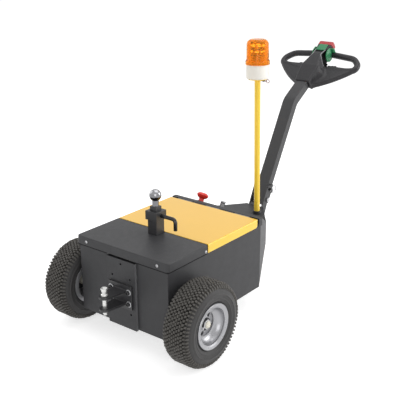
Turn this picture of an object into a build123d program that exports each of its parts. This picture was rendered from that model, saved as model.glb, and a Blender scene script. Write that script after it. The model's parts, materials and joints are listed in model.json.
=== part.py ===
"""Walk-behind battery tug for baggage carts.

Two driven wheels carry a sheet-metal battery body with a ball hitch and a drop-pin clevis. A tapered
nose behind the body holds a swivel castor, a beacon on a pole and a tilting tiller.

Millimetres, +Z up. +X points to the hitch end. Lengths are laid out from the drive axle, and the
finished pieces are then shifted so that the origin is under the middle of the whole machine.
"""
from build123d import *
from math import cos, radians, sin
import os

# Drive wheels
TYRE_RADIUS = 165.0
TYRE_WIDTH = 125.0
TYRE_WALL = 11.0
TYRE_CROWN = 9.0
WHEEL_GAP = 17.0
RIM_FLANGE_RADIUS = 88.5
RIM_SEAT_RADIUS = 76.0
RIM_WIDTH = 106.0
RIM_SHEET = 4.0
RIM_DISH = 38.0
RIM_HOLE_COUNT = 4
RIM_HOLE_TURN = 31.0
RIM_HOLE_RADIUS = 8.5
RIM_HOLE_CIRCLE = 36.0
HUB_RADIUS = 26.0
HUB_CAP_RADIUS = 14.0
HUB_CAP_LENGTH = 20.0
AXLE_RADIUS = 10.0
AXLE_ENGAGED = 120.0
AXLE_TUBE_RADIUS = 24.0

# Body sheet metal
BODY_WIDTH = 463.0
BODY_TOP = 405.0
COVER_SHEET = 2.5
PANEL_SHEET = 3.0
COVER_FLANGE = 35.0
COVER_GAP = 5.0
COVER_CORNER = 12.0
FOLD_RADIUS = 4.0
SEAT_GAP = 0.3
AXLE_SETBACK = 89.0
COVER_LENGTH = 227.0
LID_LENGTH = 327.0
STRIP_LENGTH = 24.0

# Lid hinge
HINGE_BARREL_RADIUS = 4.0
HINGE_PIN_RADIUS = 2.0
HINGE_KNUCKLES = 5
HINGE_LENGTH = 380.0
HINGE_LEAF = 1.5
RUNNING_GAP = 0.3

# Nose behind the body
SLOPE_RUN = 135.0
SLOPE_DROP = 80.0
SHELF_RUN = 150.0
NOSE_WAIST = 326.0
NOSE_TIP = 90.0
NOSE_FLOOR_HEIGHT = 225.0
RAKE_RISE = 10.0

# Hitch plate and drop-pin clevis
HITCH_PLATE_WIDTH = 144.0
HITCH_PLATE_SHEET = 10.0
HITCH_SLOT_HEIGHT = 8.0
HITCH_PLATE_DROP = 4.0
HITCH_HOLE_RADIUS = 4.5
HITCH_HOLE_SPREAD = 90.0
HITCH_HOLE_PITCH = 48.0
HITCH_PATTERN_DROP = 4.0
HITCH_CENTRE_HOLE_DROP = 18.0
CLEVIS_BASE = 8.0
CLEVIS_BASE_WIDTH = 116.0
CLEVIS_BASE_HEIGHT = 96.0
CLEVIS_PLATE = 8.0
CLEVIS_GAP = 42.0
CLEVIS_REACH = 81.0
CLEVIS_ROOT_WIDTH = 64.0
CLEVIS_NOSE_RADIUS = 22.0
DROP_PIN_RADIUS = 8.5
DROP_PIN_CLEARANCE = 0.5
DROP_PIN_TAIL = 20.0
DROP_PIN_HEAD = 32.0
DROP_PIN_CUP_RADIUS = 13.5

# Ball hitch on its square receiver post
POST_SETBACK = 112.0
POST_SIDE = 44.45
POST_BORE = 31.75
POST_FOOT_HEIGHT = 294.0
POST_FOOT_SHEET = 6.0
POST_FOOT_LENGTH = 54.0
COLLAR_SIDE = 57.0
COLLAR_HEIGHT = 35.0
POST_RISE = 94.0
BAR_CLEARANCE = 0.2
BAR_ENGAGED = 110.0
BAR_SHOW = 17.0
BALL_RADIUS = 23.8
BALL_NECK_RADIUS = 13.0
BALL_NECK_LENGTH = 24.0
BALL_FLAT_RADIUS = 9.0
HITCH_PIN_RADIUS = 7.5
HITCH_PIN_CLEARANCE = 0.2
HITCH_PIN_TAIL = 12.0
HITCH_PIN_REACH = 70.0
HITCH_PIN_DROP = 44.0
HITCH_PIN_BEND = 15.0
POST_HOLE_CLEARANCE = 1.5

# Drive unit and batteries
GEARBOX_LENGTH = 120.0
GEARBOX_WIDTH = 150.0
GEARBOX_HEIGHT = 130.0
GEARBOX_CLEARANCE = 9.0
MOTOR_RADIUS = 47.0
MOTOR_LENGTH = 120.0
BATTERY_LENGTH = 330.0
BATTERY_WIDTH = 158.0
BATTERY_HEIGHT = 215.0
BATTERY_SPACING = 6.0
BATTERY_EDGE = 3.0

# Switches on the sloped dash
ESTOP_OFFSET = -120.0
ESTOP_ALONG = 36.0
ESTOP_CAP_RADIUS = 27.0
ESTOP_CAP_HEIGHT = 20.0
ESTOP_STEM_RADIUS = 13.0
ESTOP_STEM_HEIGHT = 22.0
KEY_OFFSET = -40.0
KEY_ALONG = 80.0
KEY_RADIUS = 10.5
KEY_HEIGHT = 34.0

# Beacon and its pole
POLE_SETBACK = 67.0
POLE_OFFSET = 68.0
POLE_LEAN = 1.2
POLE_RADIUS = 12.7
POLE_LENGTH = 601.0
POLE_SOCKET_RADIUS = 18.0
POLE_SOCKET_HEIGHT = 14.0
POLE_PLATE_RADIUS = 40.0
POLE_PLATE = 4.0
POLE_CLEARANCE = 0.2
BEACON_BASE_RADIUS = 48.0
BEACON_BASE_HEIGHT = 59.0
BEACON_FLANGE_RADIUS = 51.0
BEACON_FLANGE_HEIGHT = 15.0
LENS_RADIUS = 47.5
LENS_TAPER = 1.5
LENS_HEIGHT = 88.0
LENS_WALL = 2.5
LENS_ROUND = 22.0
REFLECTOR_RADIUS = 26.0
REFLECTOR_HEIGHT = 58.0
BEACON_PIN_RADIUS = 2.2
BEACON_PIN_DROP = 8.0
BEACON_PIN_REACH = 46.0
PIN_RING_RADIUS = 17.0
PIN_RING_WIRE = 1.3
PIN_RING_INSET = 3.0
PIN_RING_SWING = 85.0
WIRE_RING_RADIUS = 7.0

# Mast and its bracket
MAST_WIDTH = 58.0
MAST_DEPTH = 35.0
MAST_WALL = 3.0
MAST_LEAN = 29.0
MAST_LOWER = 474.0
MAST_UPPER = 150.0
MAST_UPPER_RISE = 32.0
MAST_BEND = 70.0
MAST_TAIL = 26.0
PIVOT_BACK = 46.0
PIVOT_RISE = 20.0
PIVOT_RADIUS = 6.0
PIVOT_HEAD_RADIUS = 10.0
PIVOT_HEAD = 7.0
MAST_FORWARD = 14.0
MAST_BACK = 16.0
LOCK_RADIUS = 50.0
LOCK_PIN_RADIUS = 5.0
LOCK_SLOT_CLEARANCE = 0.6
LOCK_PIN_REACH = 10.0
BRACKET_SHEET = 6.0
BRACKET_GAP = 1.5
BRACKET_LAND = 6.0
BRACKET_BOSS_RADIUS = 18.0
BRACKET_FOOT = 88.0
BRACKET_RISE = 64.0
BRACKET_RUN = 50.0
BRACKET_CORNER = 5.0

# Tiller head, laid out in its own tilted plane
HEAD_TILT = 35.0
HEAD_BACK = 124.0
HEAD_SINK = 22.0
HEAD_SPAN = 428.0
GRIP_RADIUS = 15.0
GRIP_LOW = -8.0
GRIP_TIP = 30.0
GRIP_CORNER = 68.0
GRIP_HIGH = 82.0
GRIP_CORNER_INSET = 34.0
GRIP_BEND = 24.0
GRIP_ROOT = 30.0
WING_THICKNESS = 26.0
WING_TOP = 2.0
WING_TIP_INSET = 30.0
WING_TIP_LOW = -16.0
WING_BULGE = 9.0
HEAD_NECK = -150.0
HEAD_NECK_WIDTH = 80.0
HEAD_NECK_HEIGHT = 48.0
HEAD_SHOULDER = -55.0
HEAD_SHOULDER_WIDTH = 94.0
HEAD_WAIST = 24.0
HEAD_WAIST_WIDTH = 50.0
HEAD_BROW = 50.0
HEAD_BROW_WIDTH = 64.0
HEAD_BROW_TOP = 52.0
HEAD_END = 100.0
HEAD_END_WIDTH = 78.0
HEAD_END_TOP = 47.0
HEAD_TOP = 59.0
HEAD_UNDER = -18.0
HEAD_FLARE = 14.0
HEAD_ROUND = 9.0
BUTTON_WIDTH = 80.0
BUTTON_HEIGHT = 40.0
BUTTON_DEPTH = 24.0
BUTTON_ROUND = 10.0
HORN_WIDTH = 58.0
HORN_INSET = 3.0
HORN_THICKNESS = 4.0
LEVER_RADIUS = 38.0
LEVER_INNER = 24.0
LEVER_THICKNESS = 16.0
LEVER_GAP = 1.0
LEVER_ALONG = 61.0
LEVER_RISE = 12.0
THUMB_RADIUS = 11.0
THUMB_REACH = 44.0
THUMB_TURN = 18.0

# Swivel castor under the nose
CASTOR_PLATE_INSET = 4.0
CASTOR_RADIUS = 75.0
CASTOR_WIDTH = 40.0
CASTOR_TRAIL = 38.0
CASTOR_PLATE_LENGTH = 104.0
CASTOR_PLATE_WIDTH = 84.0
CASTOR_PLATE = 6.0
CASTOR_HEAD_RADIUS = 34.0
CASTOR_HEAD = 12.0
KINGPIN_RADIUS = 8.0
KINGPIN_CLEARANCE = 1.0
FORK_SHEET = 5.0
FORK_GAP = 5.0
FORK_FOOT_RADIUS = 16.0
CASTOR_AXLE_RADIUS = 6.0
CASTOR_HUB_RADIUS = 16.0
CASTOR_TYRE = 14.0

# Places that follow from the sizes above
TRACK = BODY_WIDTH + 2 * WHEEL_GAP + TYRE_WIDTH
BODY_BOTTOM = TYRE_RADIUS - GEARBOX_HEIGHT / 2 - GEARBOX_CLEARANCE - PANEL_SHEET
FRONT_X = AXLE_SETBACK
COVER_REAR_X = FRONT_X - COVER_LENGTH
LID_FRONT_X = COVER_REAR_X - COVER_GAP
LID_REAR_X = LID_FRONT_X - LID_LENGTH
HINGE_X = LID_REAR_X - COVER_GAP - HINGE_BARREL_RADIUS / 2
HINGE_Z = BODY_TOP - HINGE_BARREL_RADIUS
STRIP_FRONT_X = HINGE_X - COVER_GAP
BODY_REAR_X = STRIP_FRONT_X - STRIP_LENGTH
SLOPE_END_X = BODY_REAR_X - SLOPE_RUN
NOSE_END_X = SLOPE_END_X - SHELF_RUN
SHELF_TOP = BODY_TOP - SLOPE_DROP
COVER_UNDER = BODY_TOP - COVER_SHEET
PANEL_TOP = COVER_UNDER - SEAT_GAP
PANEL_FRONT_X = FRONT_X - COVER_SHEET - COVER_GAP
SIDE_OUTER = BODY_WIDTH / 2 - COVER_SHEET - COVER_GAP
SIDE_INNER = SIDE_OUTER - PANEL_SHEET
HITCH_FACE_X = PANEL_FRONT_X + HITCH_PLATE_SHEET
HITCH_TOP = BODY_TOP - COVER_FLANGE - HITCH_SLOT_HEIGHT
HITCH_BOTTOM = BODY_BOTTOM - HITCH_PLATE_DROP
CLEVIS_Z = (HITCH_BOTTOM + HITCH_TOP) / 2 - HITCH_PATTERN_DROP
COLLAR_TOP = BODY_TOP + POST_RISE
DROP_PIN_X = HITCH_FACE_X + CLEVIS_BASE + CLEVIS_REACH
PIVOT_X = NOSE_END_X - PIVOT_BACK
PIVOT_Z = SHELF_TOP + PIVOT_RISE
POLE_X = SLOPE_END_X - POLE_SETBACK
CASTOR_X = SLOPE_END_X - CASTOR_PLATE_INSET - CASTOR_PLATE_LENGTH / 2
CASTOR_AXLE_X = CASTOR_X - CASTOR_TRAIL
DASH_SLOPE = SLOPE_DROP / SLOPE_RUN
POLE_PLANE = Plane(
    origin=(POLE_X, POLE_OFFSET, SHELF_TOP),
    x_dir=(1, 0, 0),
    z_dir=(0, -sin(radians(POLE_LEAN)), cos(radians(POLE_LEAN))),
)


def slab(x0, x1, y0, y1, z0, z1):
    """Box between two corners."""
    middle = Pos((x0 + x1) / 2, (y0 + y1) / 2, (z0 + z1) / 2)
    return middle * Box(x1 - x0, y1 - y0, z1 - z0)


def prism_z(points, z0, z1):
    """Plan outline raised from z0 to z1."""
    return Pos(0, 0, z0) * extrude(make_face(Polyline(*points, close=True)), amount=z1 - z0)


def prism_y(points, y0, y1):
    """Side outline of (x, z) points carried from y0 to y1."""
    side = Plane(origin=(0, y1, 0), x_dir=(1, 0, 0), z_dir=(0, -1, 0))
    return side * extrude(make_face(Polyline(*points, close=True)), amount=y1 - y0)


def rod(start, end, radius):
    """Round bar between two points."""
    along = Vector(*end) - Vector(*start)
    return Plane(origin=start, z_dir=along) * Cylinder(
        radius, along.length, align=(Align.CENTER, Align.CENTER, Align.MIN)
    )


def turned_z(points):
    """Solid turned about Z from (radius, height) points."""
    return revolve(Plane.XZ * make_face(Polyline(*points, close=True)), Axis.Z)


def turned_y(points):
    """Solid turned about Y from (radius, offset) points."""
    return revolve(make_face(Polyline(*points, close=True)), Axis.Y)


def mirrored_y(shape):
    """The same piece on the other side of the machine."""
    return mirror(shape, about=Plane.XZ)


def body_front_panel():
    """Front sheet between the sides, notched above the hitch plate."""
    sheet = slab(PANEL_FRONT_X - PANEL_SHEET, PANEL_FRONT_X, -SIDE_INNER, SIDE_INNER, BODY_BOTTOM, PANEL_TOP)
    notch = HITCH_PLATE_WIDTH / 2 - HITCH_SLOT_HEIGHT / 2
    return sheet - slab(PANEL_FRONT_X - 2 * PANEL_SHEET, FRONT_X, -notch, notch, HITCH_TOP, BODY_TOP)


def body_side_panel():
    """Flat side sheet with a clearance hole round the axle tube."""
    sheet = slab(BODY_REAR_X, PANEL_FRONT_X, SIDE_INNER, SIDE_OUTER, BODY_BOTTOM, PANEL_TOP)
    start = (0, SIDE_INNER - PANEL_SHEET, TYRE_RADIUS)
    end = (0, SIDE_OUTER + PANEL_SHEET, TYRE_RADIUS)
    return sheet - rod(start, end, AXLE_TUBE_RADIUS)


def body_floor_pan():
    """Floor sheet between the four walls."""
    front = PANEL_FRONT_X - PANEL_SHEET
    return slab(BODY_REAR_X, front, -SIDE_INNER, SIDE_INNER, BODY_BOTTOM, BODY_BOTTOM + PANEL_SHEET)


def body_rear_bulkhead():
    """Upright sheet that closes the battery space towards the nose."""
    low = BODY_BOTTOM + PANEL_SHEET
    return slab(BODY_REAR_X, BODY_REAR_X + PANEL_SHEET, -SIDE_INNER, SIDE_INNER, low, PANEL_TOP)


def folded(block, corner, fold):
    """Block with its front corners rounded, and the top edge folded over at the front and both sides."""
    block = fillet(block.edges().filter_by(Axis.Z).group_by(Axis.X)[-1], corner)
    rear = block.bounding_box().min.X
    top = [edge for edge in block.edges().group_by(Axis.Z)[-1] if edge.bounding_box().max.X > rear + fold]
    return fillet(top, fold)


def rolled(block, fold):
    """Block with both long top edges folded over."""
    return fillet(block.edges().filter_by(Axis.X).group_by(Axis.Z)[-1], fold)


def body_front_cover():
    """Cover sheet folded down at the front and both sides, with a square hole for the post."""
    half = BODY_WIDTH / 2
    low = BODY_TOP - COVER_FLANGE
    outer = folded(slab(COVER_REAR_X, FRONT_X, -half, half, low, BODY_TOP), COVER_CORNER, FOLD_RADIUS)
    inner_half = half - COVER_SHEET
    rear = COVER_REAR_X - COVER_SHEET
    hollow = slab(rear, FRONT_X - COVER_SHEET, -inner_half, inner_half, low - COVER_SHEET, COVER_UNDER)
    hollow = folded(hollow, COVER_CORNER - COVER_SHEET, FOLD_RADIUS - COVER_SHEET)
    hole = POST_SIDE / 2 + POST_HOLE_CLEARANCE
    opening = slab(-POST_SETBACK - hole, -POST_SETBACK + hole, -hole, hole, low, BODY_TOP + COVER_SHEET)
    return outer - hollow - opening


def nose_plan(half_front, half_waist, half_tip, end_x):
    """Tapering plan of the nose, run forward past the bulkhead so that it can be trimmed."""
    taper = (half_front - half_waist) / SLOPE_RUN
    start_x = BODY_REAR_X + PANEL_SHEET
    half_start = half_front + taper * PANEL_SHEET
    right = [(start_x, half_start), (SLOPE_END_X, half_waist), (end_x, half_tip)]
    left = [(x, -y) for x, y in reversed(right)]
    return right + left


NOSE_OUTER = nose_plan(SIDE_OUTER, NOSE_WAIST / 2, NOSE_TIP / 2, NOSE_END_X)


def nose_wall():
    """Folded wall of the nose on the right side, under the deck and open below the rake."""
    plan = make_face(Polyline(*NOSE_OUTER, close=True))
    ring = plan - offset(plan, amount=-PANEL_SHEET, kind=Kind.INTERSECTION)
    under = COVER_SHEET
    profile = [
        (BODY_REAR_X, BODY_TOP - under),
        (SLOPE_END_X, SHELF_TOP - under),
        (NOSE_END_X, SHELF_TOP - under),
        (NOSE_END_X, NOSE_FLOOR_HEIGHT),
        (SLOPE_END_X, NOSE_FLOOR_HEIGHT),
        (BODY_REAR_X, BODY_BOTTOM + RAKE_RISE),
    ]
    return extrude(ring, amount=BODY_TOP) & prism_y(profile, 0, BODY_WIDTH)


def nose_floor():
    """Raked underside that levels out into the castor shelf."""
    plan = make_face(Polyline(*NOSE_OUTER, close=True))
    inside = extrude(offset(plan, amount=-PANEL_SHEET, kind=Kind.INTERSECTION), amount=BODY_TOP)
    rake_foot = BODY_BOTTOM + RAKE_RISE
    profile = [
        (BODY_REAR_X, rake_foot),
        (SLOPE_END_X, NOSE_FLOOR_HEIGHT),
        (NOSE_END_X, NOSE_FLOOR_HEIGHT),
        (NOSE_END_X, NOSE_FLOOR_HEIGHT + PANEL_SHEET),
        (SLOPE_END_X, NOSE_FLOOR_HEIGHT + PANEL_SHEET),
        (BODY_REAR_X, rake_foot + PANEL_SHEET),
    ]
    kingpin = rod((CASTOR_X, 0, NOSE_FLOOR_HEIGHT - PANEL_SHEET),
                  (CASTOR_X, 0, NOSE_FLOOR_HEIGHT + 2 * PANEL_SHEET), KINGPIN_RADIUS + KINGPIN_CLEARANCE)
    return (inside & prism_y(profile, -BODY_WIDTH, BODY_WIDTH)) - kingpin


def rear_deck():
    """Top sheet: flat strip behind the lid, sloped dash and lower shelf in one folded piece."""
    half = BODY_WIDTH / 2
    profile = [
        (STRIP_FRONT_X, BODY_TOP),
        (BODY_REAR_X, BODY_TOP),
        (SLOPE_END_X, SHELF_TOP),
        (NOSE_END_X, SHELF_TOP),
        (NOSE_END_X, SHELF_TOP - COVER_SHEET),
        (SLOPE_END_X, SHELF_TOP - COVER_SHEET),
        (BODY_REAR_X, COVER_UNDER),
        (STRIP_FRONT_X, COVER_UNDER),
    ]
    plan = prism_z(NOSE_OUTER, 0, BODY_TOP) + slab(BODY_REAR_X, STRIP_FRONT_X, -half, half, 0, BODY_TOP)
    sheet = prism_y(profile, -half, half) & plan
    low = BODY_TOP - COVER_FLANGE
    flange = slab(BODY_REAR_X, STRIP_FRONT_X, half - COVER_SHEET, half, low, BODY_TOP)
    return sheet + flange + mirrored_y(flange)


def hinge_knuckle(index):
    """One knuckle of the lid hinge, counted along the hinge."""
    pitch = HINGE_LENGTH / HINGE_KNUCKLES
    start = -HINGE_LENGTH / 2 + index * pitch + RUNNING_GAP
    end = start + pitch - 2 * RUNNING_GAP
    return (HINGE_X, start, HINGE_Z), (HINGE_X, end, HINGE_Z)


def lid_hinge():
    """Fixed hinge leaf under the strip with its knuckles and the pin staked in them."""
    half = HINGE_LENGTH / 2
    hinge = rod((HINGE_X, -half, HINGE_Z), (HINGE_X, half, HINGE_Z), HINGE_PIN_RADIUS)
    for index in range(1, HINGE_KNUCKLES, 2):
        start, end = hinge_knuckle(index)
        hinge += rod(start, end, HINGE_BARREL_RADIUS)
        leaf_end = BODY_REAR_X + COVER_GAP
        hinge += slab(leaf_end, HINGE_X, start[1], end[1], COVER_UNDER - HINGE_LEAF, COVER_UNDER)
    return hinge


def battery_cover():
    """Lid sheet folded down at both sides, with its hinge knuckles along the rear edge."""
    half = BODY_WIDTH / 2
    low = BODY_TOP - COVER_FLANGE
    inner_half = half - COVER_SHEET
    lid = rolled(slab(LID_REAR_X, LID_FRONT_X, -half, half, low, BODY_TOP), FOLD_RADIUS)
    lid = fillet(lid.edges().filter_by(Axis.Y).group_by(Axis.Z)[0].sort_by(Axis.X)[0], COVER_CORNER)
    rear = LID_REAR_X - COVER_SHEET
    hollow = slab(rear, LID_FRONT_X + COVER_SHEET, -inner_half, inner_half, low - COVER_SHEET, COVER_UNDER)
    lid -= rolled(hollow, FOLD_RADIUS - COVER_SHEET)
    bore = RUNNING_GAP + HINGE_PIN_RADIUS
    for index in range(0, HINGE_KNUCKLES, 2):
        start, end = hinge_knuckle(index)
        tab = slab(HINGE_X, LID_REAR_X + COVER_SHEET, start[1], end[1], COVER_UNDER, BODY_TOP)
        lid += tab + rod(start, end, HINGE_BARREL_RADIUS)
        lid -= rod(start, end, bore)
    return lid


def hitch_holes():
    """Bolt places of the hitch plate as (y, z), from the lowest row up."""
    half = HITCH_HOLE_SPREAD / 2
    rows = [CLEVIS_Z + (row - 1.5) * HITCH_HOLE_PITCH for row in range(4)]
    return [(side * half, z) for z in rows for side in (-1, 1)]


def hitch_plate():
    """Thick plate on the front panel with rows of holes, so that the clevis can be set higher or lower."""
    half = HITCH_PLATE_WIDTH / 2
    plate = slab(PANEL_FRONT_X, HITCH_FACE_X, -half, half, HITCH_BOTTOM, HITCH_TOP)
    for y, z in hitch_holes() + [(0, HITCH_TOP - HITCH_CENTRE_HOLE_DROP)]:
        plate -= rod((PANEL_FRONT_X, y, z), (HITCH_FACE_X, y, z), HITCH_HOLE_RADIUS)
    return plate


def hitch_clevis():
    """Bolted base with two tapering plates, drilled for the drop pin."""
    face = HITCH_FACE_X + CLEVIS_BASE
    half = CLEVIS_BASE_WIDTH / 2
    tall = CLEVIS_BASE_HEIGHT / 2
    clevis = slab(HITCH_FACE_X, face, -half, half, CLEVIS_Z - tall, CLEVIS_Z + tall)
    for y, z in hitch_holes()[2:6]:
        clevis -= rod((HITCH_FACE_X, y, z), (face, y, z), HITCH_HOLE_RADIUS)
    root = CLEVIS_ROOT_WIDTH / 2
    taper = [(face, -root), (DROP_PIN_X, -CLEVIS_NOSE_RADIUS), (DROP_PIN_X, CLEVIS_NOSE_RADIUS), (face, root)]
    for low in (CLEVIS_Z - CLEVIS_GAP / 2 - CLEVIS_PLATE, CLEVIS_Z + CLEVIS_GAP / 2):
        high = low + CLEVIS_PLATE
        foot, head = (DROP_PIN_X, 0, low), (DROP_PIN_X, 0, high)
        plate = prism_z(taper, low, high) + rod(foot, head, CLEVIS_NOSE_RADIUS)
        clevis += plate - rod(foot, head, DROP_PIN_RADIUS + DROP_PIN_CLEARANCE)
    return clevis


def drop_pin():
    """Turned pin with a collar on the upper plate and a flared pull head."""
    seat = CLEVIS_Z + CLEVIS_GAP / 2 + CLEVIS_PLATE
    tip = CLEVIS_Z - CLEVIS_GAP / 2 - CLEVIS_PLATE - DROP_PIN_TAIL
    radius = DROP_PIN_RADIUS
    profile = [
        (0, tip),
        (0.6 * radius, tip),
        (radius, tip + 0.8 * radius),
        (radius, seat),
        (1.35 * radius, seat),
        (1.35 * radius, seat + 0.8 * radius),
        (0.8 * radius, seat + 1.3 * radius),
        (0.8 * radius, seat + 0.6 * DROP_PIN_HEAD),
        (DROP_PIN_CUP_RADIUS, seat + 0.9 * DROP_PIN_HEAD),
        (DROP_PIN_CUP_RADIUS, seat + DROP_PIN_HEAD),
        (0, seat + DROP_PIN_HEAD),
    ]
    return Pos(DROP_PIN_X, 0, 0) * turned_z(profile)


def square_bar(side, z0, z1):
    """Square bar standing on the post's axis."""
    half = side / 2
    return slab(-POST_SETBACK - half, -POST_SETBACK + half, -half, half, z0, z1)


HITCH_PIN_Z = COLLAR_TOP - COLLAR_HEIGHT / 2


def cross_bore():
    """Hole for the hitch pin through post and bar."""
    reach = COLLAR_SIDE
    radius = HITCH_PIN_RADIUS + HITCH_PIN_CLEARANCE
    return rod((-POST_SETBACK, -reach, HITCH_PIN_Z), (-POST_SETBACK, reach, HITCH_PIN_Z), radius)


def receiver_post():
    """Square receiver tube with its collar, welded to a foot that spans the body."""
    collar_low = COLLAR_TOP - COLLAR_HEIGHT
    foot_top = POST_FOOT_HEIGHT + POST_FOOT_SHEET
    post = square_bar(POST_SIDE, foot_top, collar_low) + square_bar(COLLAR_SIDE, collar_low, COLLAR_TOP)
    post -= square_bar(POST_BORE, foot_top, COLLAR_TOP)
    half = POST_FOOT_LENGTH / 2
    rear, front = -POST_SETBACK - half, -POST_SETBACK + half
    post += slab(rear, front, -SIDE_INNER, SIDE_INNER, POST_FOOT_HEIGHT, foot_top)
    return post - cross_bore()


def ball_mount():
    """Square bar that slides into the receiver."""
    side = POST_BORE - 2 * BAR_CLEARANCE
    return square_bar(side, COLLAR_TOP - BAR_ENGAGED, COLLAR_TOP + BAR_SHOW) - cross_bore()


def hitch_ball():
    """Turned towing ball on its neck, with a small flat on top."""
    seat = COLLAR_TOP + BAR_SHOW
    drop = (BALL_RADIUS**2 - BALL_NECK_RADIUS**2) ** 0.5
    rise = (BALL_RADIUS**2 - BALL_FLAT_RADIUS**2) ** 0.5
    centre = seat + BALL_NECK_LENGTH + drop
    low = (BALL_NECK_RADIUS, centre - drop)
    high = (BALL_FLAT_RADIUS, centre + rise)
    outline = Polyline((0, high[1]), (0, seat), (BALL_NECK_RADIUS, seat), low)
    outline += ThreePointArc(low, (BALL_RADIUS, centre), high)
    outline += Line(high, (0, high[1]))
    return Pos(-POST_SETBACK, 0, 0) * revolve(Plane.XZ * make_face(outline), Axis.Z)


def hitch_pin():
    """Bent pin through the collar, its handle turned down."""
    half = COLLAR_SIDE / 2
    points = [
        (-POST_SETBACK, -half - HITCH_PIN_TAIL, HITCH_PIN_Z),
        (-POST_SETBACK, half + HITCH_PIN_REACH, HITCH_PIN_Z),
        (-POST_SETBACK, half + HITCH_PIN_REACH, HITCH_PIN_Z - HITCH_PIN_DROP),
    ]
    path = FilletPolyline(*points, radius=HITCH_PIN_BEND)
    return sweep(Plane(origin=path @ 0, z_dir=path % 0) * Circle(HITCH_PIN_RADIUS), path=path)


def drive_unit():
    """Gearbox, motor and the two axle tubes as one closed unit."""
    half = GEARBOX_LENGTH / 2
    tall = GEARBOX_HEIGHT / 2
    wide = GEARBOX_WIDTH / 2
    unit = slab(-half, half, -wide, wide, TYRE_RADIUS - tall, TYRE_RADIUS + tall)
    motor_z = TYRE_RADIUS + tall + MOTOR_RADIUS
    unit += rod((0, -MOTOR_LENGTH / 2, motor_z), (0, MOTOR_LENGTH / 2, motor_z), MOTOR_RADIUS)
    unit += slab(-MOTOR_RADIUS, MOTOR_RADIUS, -MOTOR_LENGTH / 2, MOTOR_LENGTH / 2, TYRE_RADIUS, motor_z)
    reach = SIDE_OUTER + COVER_GAP
    unit += rod((0, -reach, TYRE_RADIUS), (0, reach, TYRE_RADIUS), AXLE_TUBE_RADIUS)
    for side in (-1, 1):
        bore_start = (0, side * (reach - AXLE_ENGAGED), TYRE_RADIUS)
        unit -= rod(bore_start, (0, side * reach, TYRE_RADIUS), AXLE_RADIUS + RUNNING_GAP)
    return unit


def battery_pack():
    """Two block batteries side by side on the floor, behind the hitch post."""
    floor = BODY_BOTTOM + PANEL_SHEET
    rear = BODY_REAR_X + PANEL_SHEET + BATTERY_SPACING
    half = BATTERY_LENGTH / 2
    pack = []
    for index in range(2):
        x0 = rear + index * (BATTERY_WIDTH + BATTERY_SPACING)
        block = slab(x0, x0 + BATTERY_WIDTH, -half, half, floor, floor + BATTERY_HEIGHT)
        pack.append(fillet(block.edges().filter_by(Axis.Z), BATTERY_EDGE))
    return Compound(children=pack)


def dash_plane(along, offset_y):
    """Plane standing on the sloped dash, a distance back from the strip."""
    origin = (BODY_REAR_X - along, offset_y, BODY_TOP - along * DASH_SLOPE)
    return Plane(origin=origin, x_dir=(0, 1, 0), z_dir=(-DASH_SLOPE, 0, 1))


def estop_button():
    """Mushroom stop button: a waisted stem under a rounded cap."""
    neck = 0.85 * ESTOP_STEM_RADIUS
    top = ESTOP_STEM_HEIGHT + ESTOP_CAP_HEIGHT
    rim = (ESTOP_CAP_RADIUS, ESTOP_STEM_HEIGHT + 0.45 * ESTOP_CAP_HEIGHT)
    outline = Polyline(
        (0, top),
        (0, 0),
        (ESTOP_STEM_RADIUS, 0),
        (neck, 0.7 * ESTOP_STEM_HEIGHT),
        (0.8 * ESTOP_CAP_RADIUS, ESTOP_STEM_HEIGHT),
        rim,
    )
    shoulder = (0.78 * ESTOP_CAP_RADIUS, ESTOP_STEM_HEIGHT + 0.85 * ESTOP_CAP_HEIGHT)
    crown = (0.3 * ESTOP_CAP_RADIUS, top)
    outline += ThreePointArc(rim, shoulder, crown)
    outline += Line(crown, (0, top))
    return dash_plane(ESTOP_ALONG, ESTOP_OFFSET) * revolve(Plane.XZ * make_face(outline), Axis.Z)


def key_switch():
    """Round key switch with a bevelled bezel."""
    bevel = 0.15 * KEY_RADIUS
    profile = [
        (0, 0),
        (KEY_RADIUS, 0),
        (KEY_RADIUS, KEY_HEIGHT - bevel),
        (KEY_RADIUS - bevel, KEY_HEIGHT),
        (0, KEY_HEIGHT),
    ]
    return dash_plane(KEY_ALONG, KEY_OFFSET) * turned_z(profile)


def pole_socket():
    """Short socket on the shelf, bored along the pole."""
    top = SHELF_TOP + POLE_SOCKET_HEIGHT
    ring = rod((POLE_X, POLE_OFFSET, SHELF_TOP), (POLE_X, POLE_OFFSET, top), POLE_SOCKET_RADIUS)
    reach = 2 * POLE_SOCKET_HEIGHT
    return ring - POLE_PLANE * rod((0, 0, -reach), (0, 0, reach), POLE_RADIUS + POLE_CLEARANCE)


BEACON_PIN_RISE = POLE_LENGTH - BEACON_PIN_DROP


def beacon_wire():
    """Straight run of the beacon's pin, which is also the hole it needs in the pole."""
    left, right = (0, -BEACON_PIN_REACH, BEACON_PIN_RISE), (0, BEACON_PIN_REACH, BEACON_PIN_RISE)
    return rod(left, right, BEACON_PIN_RADIUS)


def beacon_pole():
    """Round pole with a plate for the beacon on top, drilled for the beacon's pin."""
    pole = rod((0, 0, SEAT_GAP), (0, 0, POLE_LENGTH), POLE_RADIUS)
    pole += rod((0, 0, POLE_LENGTH - POLE_PLATE), (0, 0, POLE_LENGTH), POLE_PLATE_RADIUS)
    return POLE_PLANE * (pole - beacon_wire())


def beacon_pin():
    """Wire pin through the pole, under the beacon, with a small pull ring at its end."""
    middle = BEACON_PIN_REACH + WIRE_RING_RADIUS - PIN_RING_WIRE
    ring = Plane(origin=(0, middle, BEACON_PIN_RISE), x_dir=(0, 1, 0), z_dir=(1, 0, 0))
    return POLE_PLANE * (beacon_wire() + ring * Torus(WIRE_RING_RADIUS, PIN_RING_WIRE))


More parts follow.
